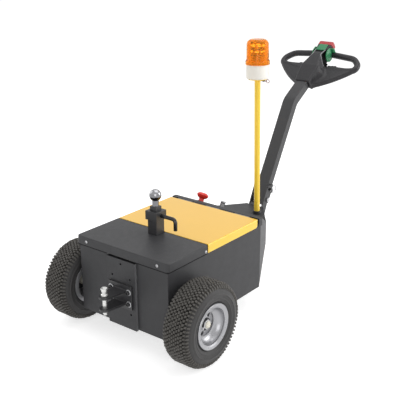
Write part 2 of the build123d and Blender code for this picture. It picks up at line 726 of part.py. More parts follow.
LENS_BOTTOM = POLE_LENGTH + BEACON_BASE_HEIGHT
LENS_FOOT = LENS_BOTTOM + BEACON_FLANGE_HEIGHT
LENS_TOP = LENS_FOOT + LENS_HEIGHT


def beacon_base():
    """Round beacon base on top of the pole."""
    base = rod((0, 0, POLE_LENGTH), (0, 0, LENS_BOTTOM), BEACON_BASE_RADIUS)
    return POLE_PLANE * chamfer(base.edges().group_by(Axis.Z)[0], COVER_SHEET)


def lens_outline(shrink, foot):
    """Half section of the lens dome, smaller all round by a margin."""
    top = LENS_TOP - shrink
    brow = LENS_RADIUS - LENS_TAPER - shrink
    round_off = LENS_ROUND - shrink
    low = (LENS_RADIUS - shrink, foot)
    side = (brow, top - round_off)
    crown = (brow - round_off, top)
    outline = Polyline((0, top), (0, foot), low, side) + RadiusArc(side, crown, -round_off)
    return outline + Line(crown, (0, top))


def beacon_lens():
    """Hollow lens with a screw-on flange and a rounded top."""
    dome = revolve(Plane.XZ * make_face(lens_outline(0, LENS_BOTTOM)), Axis.Z)
    flange = rod((0, 0, LENS_BOTTOM), (0, 0, LENS_FOOT), BEACON_FLANGE_RADIUS)
    room = revolve(Plane.XZ * make_face(lens_outline(LENS_WALL, LENS_BOTTOM)), Axis.Z)
    return POLE_PLANE * (dome + flange - room)


def beacon_reflector():
    """Half-round turning mirror on its spindle, with the lamp in front of it."""
    spindle = rod((0, 0, LENS_BOTTOM), (0, 0, LENS_FOOT), REFLECTOR_RADIUS / 2)
    table = rod((0, 0, LENS_FOOT), (0, 0, LENS_FOOT + LENS_WALL), REFLECTOR_RADIUS)
    top = LENS_FOOT + REFLECTOR_HEIGHT
    shell = rod((0, 0, LENS_FOOT), (0, 0, top), REFLECTOR_RADIUS)
    shell -= rod((0, 0, LENS_FOOT), (0, 0, top), REFLECTOR_RADIUS - LENS_WALL)
    shell &= slab(-REFLECTOR_RADIUS, 0, -REFLECTOR_RADIUS, REFLECTOR_RADIUS, LENS_FOOT, top)
    lamp = rod((0, 0, LENS_FOOT), (0, 0, LENS_FOOT + REFLECTOR_HEIGHT / 2), REFLECTOR_RADIUS / 4)
    return POLE_PLANE * (spindle + table + shell + lamp)


BRACKET_INNER = MAST_WIDTH / 2 + BRACKET_GAP
BRACKET_OUTER = BRACKET_INNER + BRACKET_SHEET


def around_pivot(angle, radius):
    """Point (x, z) at a lean angle and a distance from the mast pivot."""
    return PIVOT_X - radius * sin(radians(angle)), PIVOT_Z + radius * cos(radians(angle))


def slot_run(start_y, end_y, land):
    """Arc slot about the pivot along the lock pin's travel, widened by a land."""
    first = around_pivot(MAST_LEAN - MAST_FORWARD, LOCK_RADIUS)
    middle = around_pivot(MAST_LEAN + (MAST_BACK - MAST_FORWARD) / 2, LOCK_RADIUS)
    last = around_pivot(MAST_LEAN + MAST_BACK, LOCK_RADIUS)
    margin = LOCK_PIN_RADIUS + LOCK_SLOT_CLEARANCE + land
    slot = SlotArc(ThreePointArc(first, middle, last), 2 * margin)
    side = Plane(origin=(0, end_y, 0), x_dir=(1, 0, 0), z_dir=(0, -1, 0))
    return side * extrude(slot, amount=end_y - start_y)


def mast_bracket():
    """Base plate on the nose end with two ears that hold the mast pivot and the lock pin's slot."""
    base_x = NOSE_END_X - BRACKET_SHEET
    foot = NOSE_FLOOR_HEIGHT
    base = slab(base_x, NOSE_END_X, -NOSE_TIP / 2, NOSE_TIP / 2, foot, foot + BRACKET_FOOT)
    boss = BRACKET_BOSS_RADIUS
    top = PIVOT_Z + BRACKET_RISE
    web = [
        (base_x, foot),
        (base_x, SHELF_TOP),
        (PIVOT_X, top),
        (PIVOT_X - BRACKET_RUN, top),
        (PIVOT_X - boss, PIVOT_Z),
        (PIVOT_X, PIVOT_Z - boss),
    ]
    ear = prism_y(web, BRACKET_INNER, BRACKET_OUTER)
    ear = fillet(ear.edges().filter_by(Axis.Y).group_by(Axis.Z)[-1], BRACKET_CORNER)
    ear += slot_run(BRACKET_INNER, BRACKET_OUTER, BRACKET_LAND)
    ear += rod((PIVOT_X, BRACKET_INNER, PIVOT_Z), (PIVOT_X, BRACKET_OUTER, PIVOT_Z), boss)
    pivot = rod((PIVOT_X, -BRACKET_OUTER, PIVOT_Z), (PIVOT_X, BRACKET_OUTER, PIVOT_Z), PIVOT_RADIUS)
    return base + (ear + mirrored_y(ear) - slot_run(-BRACKET_OUTER, BRACKET_OUTER, 0) - pivot)


def mast_pivot_bolt():
    """Bolt through both bracket plates and the mast."""
    bolt = rod((PIVOT_X, -BRACKET_OUTER, PIVOT_Z), (PIVOT_X, BRACKET_OUTER, PIVOT_Z), PIVOT_RADIUS)
    end = BRACKET_OUTER + PIVOT_HEAD
    for side in (-1, 1):
        seat = (PIVOT_X, side * BRACKET_OUTER, PIVOT_Z)
        bolt += rod(seat, (PIVOT_X, side * end, PIVOT_Z), PIVOT_HEAD_RADIUS)
    return bolt


MAST_BEND_X, MAST_BEND_Z = around_pivot(MAST_LEAN, MAST_LOWER)
MAST_END_X = MAST_BEND_X - MAST_UPPER * cos(radians(MAST_UPPER_RISE))
MAST_END_Z = MAST_BEND_Z + MAST_UPPER * sin(radians(MAST_UPPER_RISE))
LOCK_X, LOCK_Z = around_pivot(MAST_LEAN, LOCK_RADIUS)


def mast_tube():
    """Rectangular tube, bent back near its top, drilled for the pivot and the lock pin."""
    foot = around_pivot(MAST_LEAN, -MAST_TAIL)
    points = [(foot[0], 0, foot[1]), (MAST_BEND_X, 0, MAST_BEND_Z), (MAST_END_X, 0, MAST_END_Z)]
    path = FilletPolyline(*points, radius=MAST_BEND)
    hollow = Rectangle(MAST_WIDTH - 2 * MAST_WALL, MAST_DEPTH - 2 * MAST_WALL)
    section = Rectangle(MAST_WIDTH, MAST_DEPTH) - hollow
    tube = sweep(Plane(origin=path @ 0, x_dir=(0, 1, 0), z_dir=path % 0) * section, path=path)
    half = MAST_WIDTH / 2
    tube -= rod((PIVOT_X, -half, PIVOT_Z), (PIVOT_X, half, PIVOT_Z), PIVOT_RADIUS + RUNNING_GAP)
    return tube - rod((LOCK_X, -half, LOCK_Z), (LOCK_X, half, LOCK_Z), LOCK_PIN_RADIUS)


def lock_pin():
    """Pin that sets the mast's lean, with a split ring hanging from its pull end."""
    end = BRACKET_OUTER + LOCK_PIN_REACH
    pin = rod((LOCK_X, -end, LOCK_Z), (LOCK_X, end, LOCK_Z), LOCK_PIN_RADIUS)
    back = PIN_RING_RADIUS * sin(radians(PIN_RING_SWING))
    drop = PIN_RING_RADIUS * cos(radians(PIN_RING_SWING))
    middle = (LOCK_X - back, end - PIN_RING_INSET, LOCK_Z - drop)
    ring = Plane(origin=middle, x_dir=(1, 0, 0), z_dir=(0, 1, 0))
    return pin + ring * Torus(PIN_RING_RADIUS, PIN_RING_WIRE)


HEAD_PLANE = Plane(
    origin=(
        MAST_END_X - HEAD_BACK * cos(radians(HEAD_TILT)) - HEAD_SINK * sin(radians(HEAD_TILT)),
        0,
        MAST_END_Z + HEAD_BACK * sin(radians(HEAD_TILT)) - HEAD_SINK * cos(radians(HEAD_TILT)),
    ),
    x_dir=(0, 1, 0),
    z_dir=(sin(radians(HEAD_TILT)), 0, cos(radians(HEAD_TILT))),
)


def head_section(along, low, high, width, flare):
    """Cross section of the tiller's middle: rounded, and wider below the top by a flare."""
    station = Plane(origin=(0, along, 0), x_dir=(1, 0, 0), z_dir=(0, -1, 0))
    half = width / 2
    corners = [(-half, high), (half, high), (half + flare, low), (-half - flare, low)]
    outline = make_face(Polyline(*corners, close=True))
    return station * fillet(outline.vertices(), HEAD_ROUND)


def head_middle():
    """Swelling middle of the head, from the boot round the mast to the face that carries the button."""
    neck_low = HEAD_SINK - HEAD_NECK_HEIGHT / 2
    neck_high = HEAD_SINK + HEAD_NECK_HEIGHT / 2
    end_low = HEAD_END_TOP - BUTTON_HEIGHT
    return loft(
        [
            head_section(HEAD_NECK, neck_low, neck_high, HEAD_NECK_WIDTH, 0),
            head_section(HEAD_SHOULDER, HEAD_UNDER, HEAD_TOP, HEAD_SHOULDER_WIDTH, HEAD_FLARE),
            head_section(HEAD_WAIST, HEAD_UNDER, HEAD_TOP, HEAD_WAIST_WIDTH, HEAD_FLARE),
            head_section(HEAD_BROW, HEAD_UNDER, HEAD_BROW_TOP, HEAD_BROW_WIDTH, HEAD_FLARE / 2),
            head_section(HEAD_END, end_low, HEAD_END_TOP, HEAD_END_WIDTH, 0),
        ],
        ruled=True,
    )


def grip_loop():
    """Right-hand grip: a round bar that runs out, round the tip and back."""
    tip = HEAD_SPAN / 2 - GRIP_RADIUS
    points = [
        (GRIP_ROOT, GRIP_LOW - GRIP_ROOT, 0),
        (tip, GRIP_LOW, 0),
        (tip, GRIP_TIP, 0),
        (tip - GRIP_CORNER_INSET, GRIP_CORNER, 0),
        (LEVER_INNER + LEVER_THICKNESS + LEVER_GAP, GRIP_HIGH, 0),
    ]
    path = FilletPolyline(*points, radius=[GRIP_BEND, 1.5 * GRIP_BEND, 2.5 * GRIP_BEND])
    return sweep(Plane(origin=path @ 0, z_dir=path % 0) * Circle(GRIP_RADIUS), path=path)


def grip_wing():
    """Right-hand wing from the neck to the grip's lower bar, round along its outer edge."""
    half = WING_THICKNESS / 2
    tip = HEAD_SPAN / 2 - WING_TIP_INSET
    neck = (HEAD_NECK_WIDTH / 2 - half, HEAD_NECK + half)
    outer = (tip, WING_TIP_LOW)
    run = Vector(*outer) - Vector(*neck)
    outward = Vector(run.Y, -run.X).normalized() * WING_BULGE
    edge = ThreePointArc(neck, Vector(*neck) + run / 2 + outward, outer)
    outline = Line((0, HEAD_NECK + half), neck) + edge
    outline += Polyline(outer, (tip, GRIP_LOW), (0, WING_TOP), (0, HEAD_NECK + half))
    plate = Pos(0, 0, -half) * extrude(make_face(outline), amount=WING_THICKNESS)
    return plate + sweep(Plane(origin=edge @ 0, z_dir=edge % 0) * Circle(half), path=edge)


def tiller_head():
    """Moulded head: a swelling middle with a wing and a closed grip on each side."""
    side = grip_loop() + grip_wing()
    head = head_middle() + side + mirror(side, about=Plane.YZ)
    for pocket in lever_wings(LEVER_GAP):
        head -= pocket
    return HEAD_PLANE * (head - horn_plate()) - mast_socket()


def mast_socket():
    """Room in the head for the end of the mast tube."""
    along = Vector(MAST_END_X - MAST_BEND_X, 0, MAST_END_Z - MAST_BEND_Z)
    station = Plane(origin=(MAST_BEND_X, 0, MAST_BEND_Z), x_dir=(0, 1, 0), z_dir=along)
    return station * extrude(Rectangle(MAST_WIDTH, MAST_DEPTH), amount=MAST_UPPER)


def belly_button():
    """Wide reversing button over the end of the head."""
    rise = HEAD_END_TOP - BUTTON_HEIGHT / 2
    station = Plane(origin=(0, HEAD_END, rise), x_dir=(1, 0, 0), z_dir=(0, 1, 0))
    face = RectangleRounded(BUTTON_WIDTH, BUTTON_HEIGHT, BUTTON_ROUND)
    block = extrude(station * face, amount=BUTTON_DEPTH)
    block = fillet(block.edges().group_by(Axis.Y)[-1], BUTTON_ROUND / 2)
    return HEAD_PLANE * block


def horn_plate():
    """Horn plate let into the sloped top between the levers and the button."""
    start = (0, HEAD_BROW + HORN_INSET, HEAD_BROW_TOP)
    fall = Vector(0, HEAD_END - HEAD_BROW, HEAD_END_TOP - HEAD_BROW_TOP)
    slope = Plane(origin=start, x_dir=(1, 0, 0), z_dir=(0, -fall.Z, fall.Y))
    length = fall.length - 2 * HORN_INSET
    return slope * Pos(0, length / 2, 0) * Box(HORN_WIDTH, length, HORN_THICKNESS)


def lever_wings(margin):
    """Thumb lever on each side of the head, larger all round by a margin."""
    outer = LEVER_INNER + LEVER_THICKNESS
    turn = radians(THUMB_TURN)
    thumb_along = LEVER_ALONG - THUMB_REACH * sin(turn)
    thumb_rise = LEVER_RISE + THUMB_REACH * cos(turn)
    thumb_start = outer - LEVER_THICKNESS / 2
    wings = []
    for side in (-1, 1):
        inside = (side * LEVER_INNER, LEVER_ALONG, LEVER_RISE)
        wing = rod(inside, (side * outer, LEVER_ALONG, LEVER_RISE), LEVER_RADIUS + margin)
        root = (side * (thumb_start - margin), thumb_along, thumb_rise)
        wings.append(wing + rod(root, (side * outer, thumb_along, thumb_rise), THUMB_RADIUS + margin))
    return wings


def throttle_levers():
    """Thumb levers at the sides of the head and the horn plate between them."""
    return Compound(children=[HEAD_PLANE * solid for solid in (*lever_wings(0), horn_plate())])


def castor_plate():
    """Top plate of the castor under the nose floor."""
    half = CASTOR_PLATE_LENGTH / 2
    wide = CASTOR_PLATE_WIDTH / 2
    low = NOSE_FLOOR_HEIGHT - CASTOR_PLATE
    plate = slab(CASTOR_X - half, CASTOR_X + half, -wide, wide, low, NOSE_FLOOR_HEIGHT)
    return plate - rod((CASTOR_X, 0, low), (CASTOR_X, 0, NOSE_FLOOR_HEIGHT), KINGPIN_RADIUS + RUNNING_GAP)


def castor_fork():
    """Swivel head on its kingpin, with two raked legs and the wheel axle."""
    head_top = NOSE_FLOOR_HEIGHT - CASTOR_PLATE - RUNNING_GAP
    head_low = head_top - CASTOR_HEAD
    fork = rod((CASTOR_X, 0, head_low), (CASTOR_X, 0, head_top), CASTOR_HEAD_RADIUS)
    fork += rod((CASTOR_X, 0, head_low), (CASTOR_X, 0, NOSE_FLOOR_HEIGHT), KINGPIN_RADIUS)
    inner = CASTOR_WIDTH / 2 + FORK_GAP
    outer = inner + FORK_SHEET
    crown_low = head_low - FORK_SHEET
    front = CASTOR_X + CASTOR_HEAD_RADIUS
    rear = CASTOR_X - CASTOR_HEAD_RADIUS
    fork += slab(rear, front, -outer, outer, crown_low, head_low)
    leg = [
        (front, head_low),
        (rear, head_low),
        (CASTOR_AXLE_X - FORK_FOOT_RADIUS, CASTOR_RADIUS),
        (CASTOR_AXLE_X + FORK_FOOT_RADIUS, CASTOR_RADIUS),
    ]
    for side in (-1, 1):
        low, high = sorted((side * inner, side * outer))
        left, right = (CASTOR_AXLE_X, low, CASTOR_RADIUS), (CASTOR_AXLE_X, high, CASTOR_RADIUS)
        fork += prism_y(leg, low, high) + rod(left, right, FORK_FOOT_RADIUS)
    end = outer + CASTOR_AXLE_RADIUS
    left, right = (CASTOR_AXLE_X, -end, CASTOR_RADIUS), (CASTOR_AXLE_X, end, CASTOR_RADIUS)
    return fork + rod(left, right, CASTOR_AXLE_RADIUS)


def castor_wheel():
    """Castor wheel with a waisted web between hub and tread."""
    half = CASTOR_WIDTH / 2
    bore = CASTOR_AXLE_RADIUS + RUNNING_GAP
    hub_half = half + FORK_GAP - RUNNING_GAP
    web_radius = CASTOR_RADIUS - CASTOR_TYRE
    edge = CASTOR_TYRE / 3
    right = [
        (bore, hub_half),
        (CASTOR_HUB_RADIUS, hub_half),
        (CASTOR_HUB_RADIUS, half / 2),
        (web_radius, half / 2),
        (web_radius, half),
        (CASTOR_RADIUS - edge, half),
        (CASTOR_RADIUS, half - edge),
    ]
    left = [(radius, -y) for radius, y in reversed(right)]
    return Pos(CASTOR_AXLE_X, 0, CASTOR_RADIUS) * turned_y(right + left)


def tyre():
    """Low-pressure turf tyre, rounded at the shoulders and open towards the rim."""
    half = TYRE_WIDTH / 2
    bead = RIM_WIDTH / 2 - RIM_SHEET
    shoulder = TYRE_RADIUS - TYRE_CROWN
    outer = [
        (RIM_SEAT_RADIUS, bead),
        (RIM_FLANGE_RADIUS, bead),
        (RIM_FLANGE_RADIUS + TYRE_WALL, half - TYRE_CROWN / 2),
        ((RIM_FLANGE_RADIUS + TYRE_RADIUS) / 2, half),
        (shoulder - TYRE_WALL, half - TYRE_CROWN / 3),
        (shoulder, half - TYRE_CROWN),
        (TYRE_RADIUS, half - 3 * TYRE_CROWN),
    ]
    inner = [
        (RIM_SEAT_RADIUS, bead - TYRE_WALL),
        (RIM_FLANGE_RADIUS, bead - TYRE_WALL),
        ((RIM_FLANGE_RADIUS + TYRE_RADIUS) / 2, half - TYRE_WALL),
        (shoulder - TYRE_WALL, half - TYRE_CROWN - TYRE_WALL),
        (TYRE_RADIUS - TYRE_WALL, half - 3 * TYRE_CROWN - TYRE_WALL),
    ]
    ring = outer + [(radius, -y) for radius, y in reversed(outer)]
    ring += [(radius, -y) for radius, y in inner]
    ring += list(reversed(inner))
    return turned_y(ring)


def rim():
    """Dished steel rim with a ring of round holes."""
    half = RIM_WIDTH / 2
    sheet = RIM_SHEET
    barrel = RIM_SEAT_RADIUS - sheet
    face = half - RIM_DISH
    shell = turned_y([
        (barrel, -half),
        (RIM_FLANGE_RADIUS, -half),
        (RIM_FLANGE_RADIUS, -half + sheet),
        (RIM_SEAT_RADIUS, -half + sheet),
        (RIM_SEAT_RADIUS, half - sheet),
        (RIM_FLANGE_RADIUS, half - sheet),
        (RIM_FLANGE_RADIUS, half),
        (barrel, half),
    ])
    disc = turned_y([
        (AXLE_RADIUS, face - sheet),
        (HUB_RADIUS, face - sheet),
        (barrel, face - 2 * sheet),
        (barrel, face),
        (HUB_RADIUS, face + sheet),
        (AXLE_RADIUS, face + sheet),
    ])
    for index in range(RIM_HOLE_COUNT):
        turn = radians(RIM_HOLE_TURN + 360 / RIM_HOLE_COUNT * index)
        x, z = RIM_HOLE_CIRCLE * cos(turn), RIM_HOLE_CIRCLE * sin(turn)
        disc -= rod((x, -half, z), (x, half, z), RIM_HOLE_RADIUS)
    return shell + disc


def hub():
    """Axle stub with the flange behind the rim disc and the cap in front of it."""
    face = RIM_WIDTH / 2 - RIM_DISH
    inner_end = SIDE_OUTER + COVER_GAP - TRACK / 2
    flange_start = inner_end + RUNNING_GAP
    return turned_y([
        (0, inner_end - AXLE_ENGAGED + RUNNING_GAP),
        (AXLE_RADIUS, inner_end - AXLE_ENGAGED + RUNNING_GAP),
        (AXLE_RADIUS, flange_start),
        (HUB_RADIUS, flange_start),
        (HUB_RADIUS, face - RIM_SHEET),
        (AXLE_RADIUS, face - RIM_SHEET),
        (AXLE_RADIUS, face + RIM_SHEET),
        (HUB_CAP_RADIUS, face + RIM_SHEET),
        (HUB_CAP_RADIUS, face + HUB_CAP_LENGTH - RIM_SHEET),
        (HUB_CAP_RADIUS - RIM_SHEET, face + HUB_CAP_LENGTH),
        (0, face + HUB_CAP_LENGTH),
    ])


def build_nodes():
    """Every piece by its name, laid out from the drive axle."""
    right_side = body_side_panel()
    right_nose = nose_wall()
    nodes = {
        "front_panel": body_front_panel(),
        "side_panel_right": right_side,
        "side_panel_left": mirrored_y(right_side),
        "floor_pan": body_floor_pan(),
        "rear_bulkhead": body_rear_bulkhead(),
        "front_cover": body_front_cover(),
        "nose_wall_right": right_nose,
        "nose_wall_left": mirrored_y(right_nose),
        "nose_floor": nose_floor(),
        "rear_deck": rear_deck(),
        "lid_hinge": lid_hinge(),
        "battery_cover": battery_cover(),
        "hitch_plate": hitch_plate(),
        "hitch_clevis": hitch_clevis(),
        "drop_pin": drop_pin(),
        "receiver_post": receiver_post(),
        "ball_mount": ball_mount(),
        "hitch_ball": hitch_ball(),
        "hitch_pin": hitch_pin(),
        "drive_unit": drive_unit(),
        "battery_pack": battery_pack(),
        "estop_button": estop_button(),
        "key_switch": key_switch(),
        "pole_socket": pole_socket(),
        "beacon_pole": beacon_pole(),
        "beacon_pin": beacon_pin(),
        "beacon_base": beacon_base(),
        "beacon_lens": beacon_lens(),
        "beacon_reflector": beacon_reflector(),
        "mast_bracket": mast_bracket(),
        "mast_pivot_bolt": mast_pivot_bolt(),
        "mast_tube": mast_tube(),
        "lock_pin": lock_pin(),
        "tiller_head": tiller_head(),
        "belly_button": belly_button(),
        "throttle_levers": throttle_levers(),
        "castor_plate": castor_plate(),
        "castor_fork": castor_fork(),
        "castor_wheel": castor_wheel(),
    }
    for name, shape in (("tyre", tyre()), ("rim", rim()), ("wheel_hub", hub())):
        right = Pos(0, TRACK / 2, TYRE_RADIUS) * shape
        nodes[f"{name}_right"] = right
        nodes[f"{name}_left"] = mirrored_y(right)
    return nodes


def origin_shift(nodes):
    """Distance that brings the middle of the machine's length over the origin."""
    boxes = [shape.bounding_box() for shape in nodes.values()]
    return -(min(box.min.X for box in boxes) + max(box.max.X for box in boxes)) / 2


NODES = build_nodes()
SHIFT_X = origin_shift(NODES)

os.makedirs("parts", exist_ok=True)
for node, solid in NODES.items():
    export_step(Pos(SHIFT_X, 0, 0) * solid, f"parts/{node}.step")
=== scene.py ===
"""Looks of the walk-behind battery tug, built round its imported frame.

Pieces are laid out in millimetres from the drive axle, as the solids are, and each is moved into the frame
as it is finished.
"""
import json
from math import cos, hypot, pi, radians, sin
from random import Random

import bmesh
import bpy
from mathutils import Matrix, Vector
from mathutils.bvhtree import BVHTree


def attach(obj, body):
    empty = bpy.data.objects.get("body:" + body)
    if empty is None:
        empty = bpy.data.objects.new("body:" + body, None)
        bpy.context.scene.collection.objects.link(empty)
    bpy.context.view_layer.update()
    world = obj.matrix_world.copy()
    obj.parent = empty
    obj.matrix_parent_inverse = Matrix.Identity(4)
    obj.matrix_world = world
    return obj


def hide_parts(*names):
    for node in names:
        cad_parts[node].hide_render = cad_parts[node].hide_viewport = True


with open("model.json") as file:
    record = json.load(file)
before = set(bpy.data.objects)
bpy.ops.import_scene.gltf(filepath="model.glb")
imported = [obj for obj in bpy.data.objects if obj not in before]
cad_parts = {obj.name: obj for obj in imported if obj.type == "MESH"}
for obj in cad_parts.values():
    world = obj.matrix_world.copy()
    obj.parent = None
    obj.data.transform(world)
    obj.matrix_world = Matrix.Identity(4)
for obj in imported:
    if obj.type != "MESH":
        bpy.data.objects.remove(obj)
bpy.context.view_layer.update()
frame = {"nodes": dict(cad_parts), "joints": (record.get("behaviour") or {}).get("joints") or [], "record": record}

SCENE = bpy.context.scene
NODES = frame["nodes"]
JOINTS = {joint["name"]: joint for joint in frame["joints"]}
SLOT_OF = {part["node"]: part["material_slot"] for part in frame["record"]["subparts"]}
AXLE_X = JOINTS["drive_wheel_right_spin"]["pos_m"][0]
TO_FRAME = Matrix.Translation((AXLE_X, 0, 0)) @ Matrix.Scale(0.001, 4)
SIDES = (("right", 1), ("left", -1))

# Sizes shared with the solids, in millimetres from the drive axle
AXLE_Z = 165.0
TRACK_HALF = 311.0
FRONT_X = 89.0
HITCH_HALF = 72.0
CLEVIS_FACE_X = 99.5
CLEVIS_Z = 219.0
CLEVIS_GAP = 42.0
CLEVIS_PLATE = 8.0
DROP_PIN = Vector((180.5, 0.0, CLEVIS_Z))
BODY_TOP = 405.0
BODY_HALF = 231.5
LID_REAR_X = -470.0
POST_X = -112.0
COLLAR_LOW = 464.0
DASH_START_X = -506.0
DASH_SLOPE = 80.0 / 135.0
HEAD_TILT = radians(35.0)
HEAD_ORIGIN = Vector((-1308.2, 0.0, 892.2))
HEAD_U = Vector((0, 1, 0))
HEAD_V = Vector((-cos(HEAD_TILT), 0, sin(HEAD_TILT)))
HEAD_H = Vector((sin(HEAD_TILT), 0, cos(HEAD_TILT)))
HEAD_AXES = (HEAD_U, HEAD_V, HEAD_H)
POLE_FOOT = Vector((-708.0, 68.0, 325.0))
POLE_LEAN = radians(1.2)
POLE_UP = Vector((0, -sin(POLE_LEAN), cos(POLE_LEAN)))
POLE_SIDE = Vector((0, cos(POLE_LEAN), sin(POLE_LEAN)))
POLE_LENGTH = 601.0
POLE_PLATE = 4.0
LENS_BOTTOM = 660.0
LENS_FLANGE = 15.0
LENS_FLANGE_RADIUS = 51.0
RIM_OUTER = 53.0
RIM_FACE = 19.0
HUB_CAP_RADIUS = 14.0
BRACKET_OUTER = 36.5
CASTOR_X = -697.0
CASTOR_PLATE_UNDER = 219.0


# Shader helpers

def linear(red, green, blue):
    """Linear colour of an 8-bit display colour."""
    channels = []
    for value in (red, green, blue):
        share = value / 255
        channels.append(share / 12.92 if share <= 0.04045 else ((share + 0.055) / 1.055) ** 2.4)
    return (*channels, 1.0)


def tint(colour, share):
    """Colour made lighter or darker by a share."""
    return (*(min(1.0, channel * (1 + share)) for channel in colour[:3]), 1.0)


def put(tree, kind, inputs, **settings):
    """Adds a shader node, with sockets linked and numbers set."""
    made = tree.nodes.new(kind)
    for key, value in settings.items():
        setattr(made, key, value)
    for key, value in inputs.items():
        if isinstance(value, bpy.types.NodeSocket):
            tree.links.new(value, made.inputs[key])
        else:
            made.inputs[key].default_value = value
    return made


def noise(tree, where, scale, detail):
    """Soft noise from 0 to 1."""
    inputs = {"Vector": where, "Scale": scale, "Detail": detail}
    return put(tree, "ShaderNodeTexNoise", inputs).outputs["Fac"]


def mix(tree, share, first, second):
    """Colour between two others."""
    inputs = {0: share, 6: first, 7: second}
    return put(tree, "ShaderNodeMix", inputs, data_type="RGBA").outputs[2]


def spread(tree, value, **bounds):
    """Value mapped from one range to another, by the Map Range node's own socket names."""
    inputs = {"Value": value} | {key.replace("_", " "): bound for key, bound in bounds.items()}
    return put(tree, "ShaderNodeMapRange", inputs).outputs["Result"]


def maths(tree, operation, *values):
    """Sum, product or other figure of one or two values."""
    return put(tree, "ShaderNodeMath", dict(enumerate(values)), operation=operation).outputs[0]


def part_of(tree, vector, letter):
    """One coordinate of a vector."""
    return put(tree, "ShaderNodeSeparateXYZ", {0: vector}).outputs[letter]


def object_place(tree):
    """Place on the surface, in the object's own metres."""
    return tree.nodes.new("ShaderNodeTexCoord").outputs["Object"]


def face_normal(tree):
    """Direction that the surface faces."""
    return tree.nodes.new("ShaderNodeNewGeometry").outputs["Normal"]


# Materials

CLOUD_DETAIL, GLOSS_DETAIL, GRAIN_DETAIL = 4.0, 3.0, 2.0
GLOSS_FINER = 3
GRAIN_DEPTH = 0.0004
WEAR_START, WEAR_FULL = 0.99, 0.8
WEAR_TINT = 1.2
LEAST_ROUGH = 0.02
EDGE_SAMPLES = 6


def surface(name, colour, rough, grain=0.0, grain_size=1.0, drift=0.1, patch=14.0, edge=0.0, soften=1.0,
            rough_drift=0.08, edge_colour=None, **sockets):
    """Material with colour drift, uneven gloss, fine grain, softened edges and a little wear along them."""
    made = bpy.data.materials.new(name)
    made.use_nodes = True
    tree = made.node_tree
    shader = tree.nodes["Principled BSDF"]
    where = object_place(tree)
    cloud = noise(tree, where, patch, CLOUD_DETAIL)
    shade = mix(tree, cloud, tint(colour, -drift), tint(colour, drift))
    rounded = put(tree, "ShaderNodeBevel", {"Radius": soften / 1000}, samples=EDGE_SAMPLES).outputs["Normal"]
    if edge > 0:
        both = {0: rounded, 1: face_normal(tree)}
        turn = put(tree, "ShaderNodeVectorMath", both, operation="DOT_PRODUCT").outputs["Value"]
        wear = spread(tree, turn, From_Min=WEAR_START, From_Max=WEAR_FULL, To_Min=0.0, To_Max=edge)
        shade = mix(tree, wear, shade, edge_colour or tint(colour, WEAR_TINT))
    tree.links.new(shade, shader.inputs["Base Color"])
    gloss = noise(tree, where, GLOSS_FINER * patch, GLOSS_DETAIL)
    smoothest, dullest = max(LEAST_ROUGH, rough - rough_drift), min(1.0, rough + rough_drift)
    tree.links.new(spread(tree, gloss, To_Min=smoothest, To_Max=dullest), shader.inputs["Roughness"])
    if grain > 0:
        pits = noise(tree, where, 1000 / grain_size, GRAIN_DETAIL)
        bump = {"Height": pits, "Strength": grain, "Distance": GRAIN_DEPTH, "Normal": rounded}
        rounded = put(tree, "ShaderNodeBump", bump).outputs["Normal"]
    tree.links.new(rounded, shader.inputs["Normal"])
    for key, value in sockets.items():
        shader.inputs[key.replace("_", " ")].default_value = value
    return made


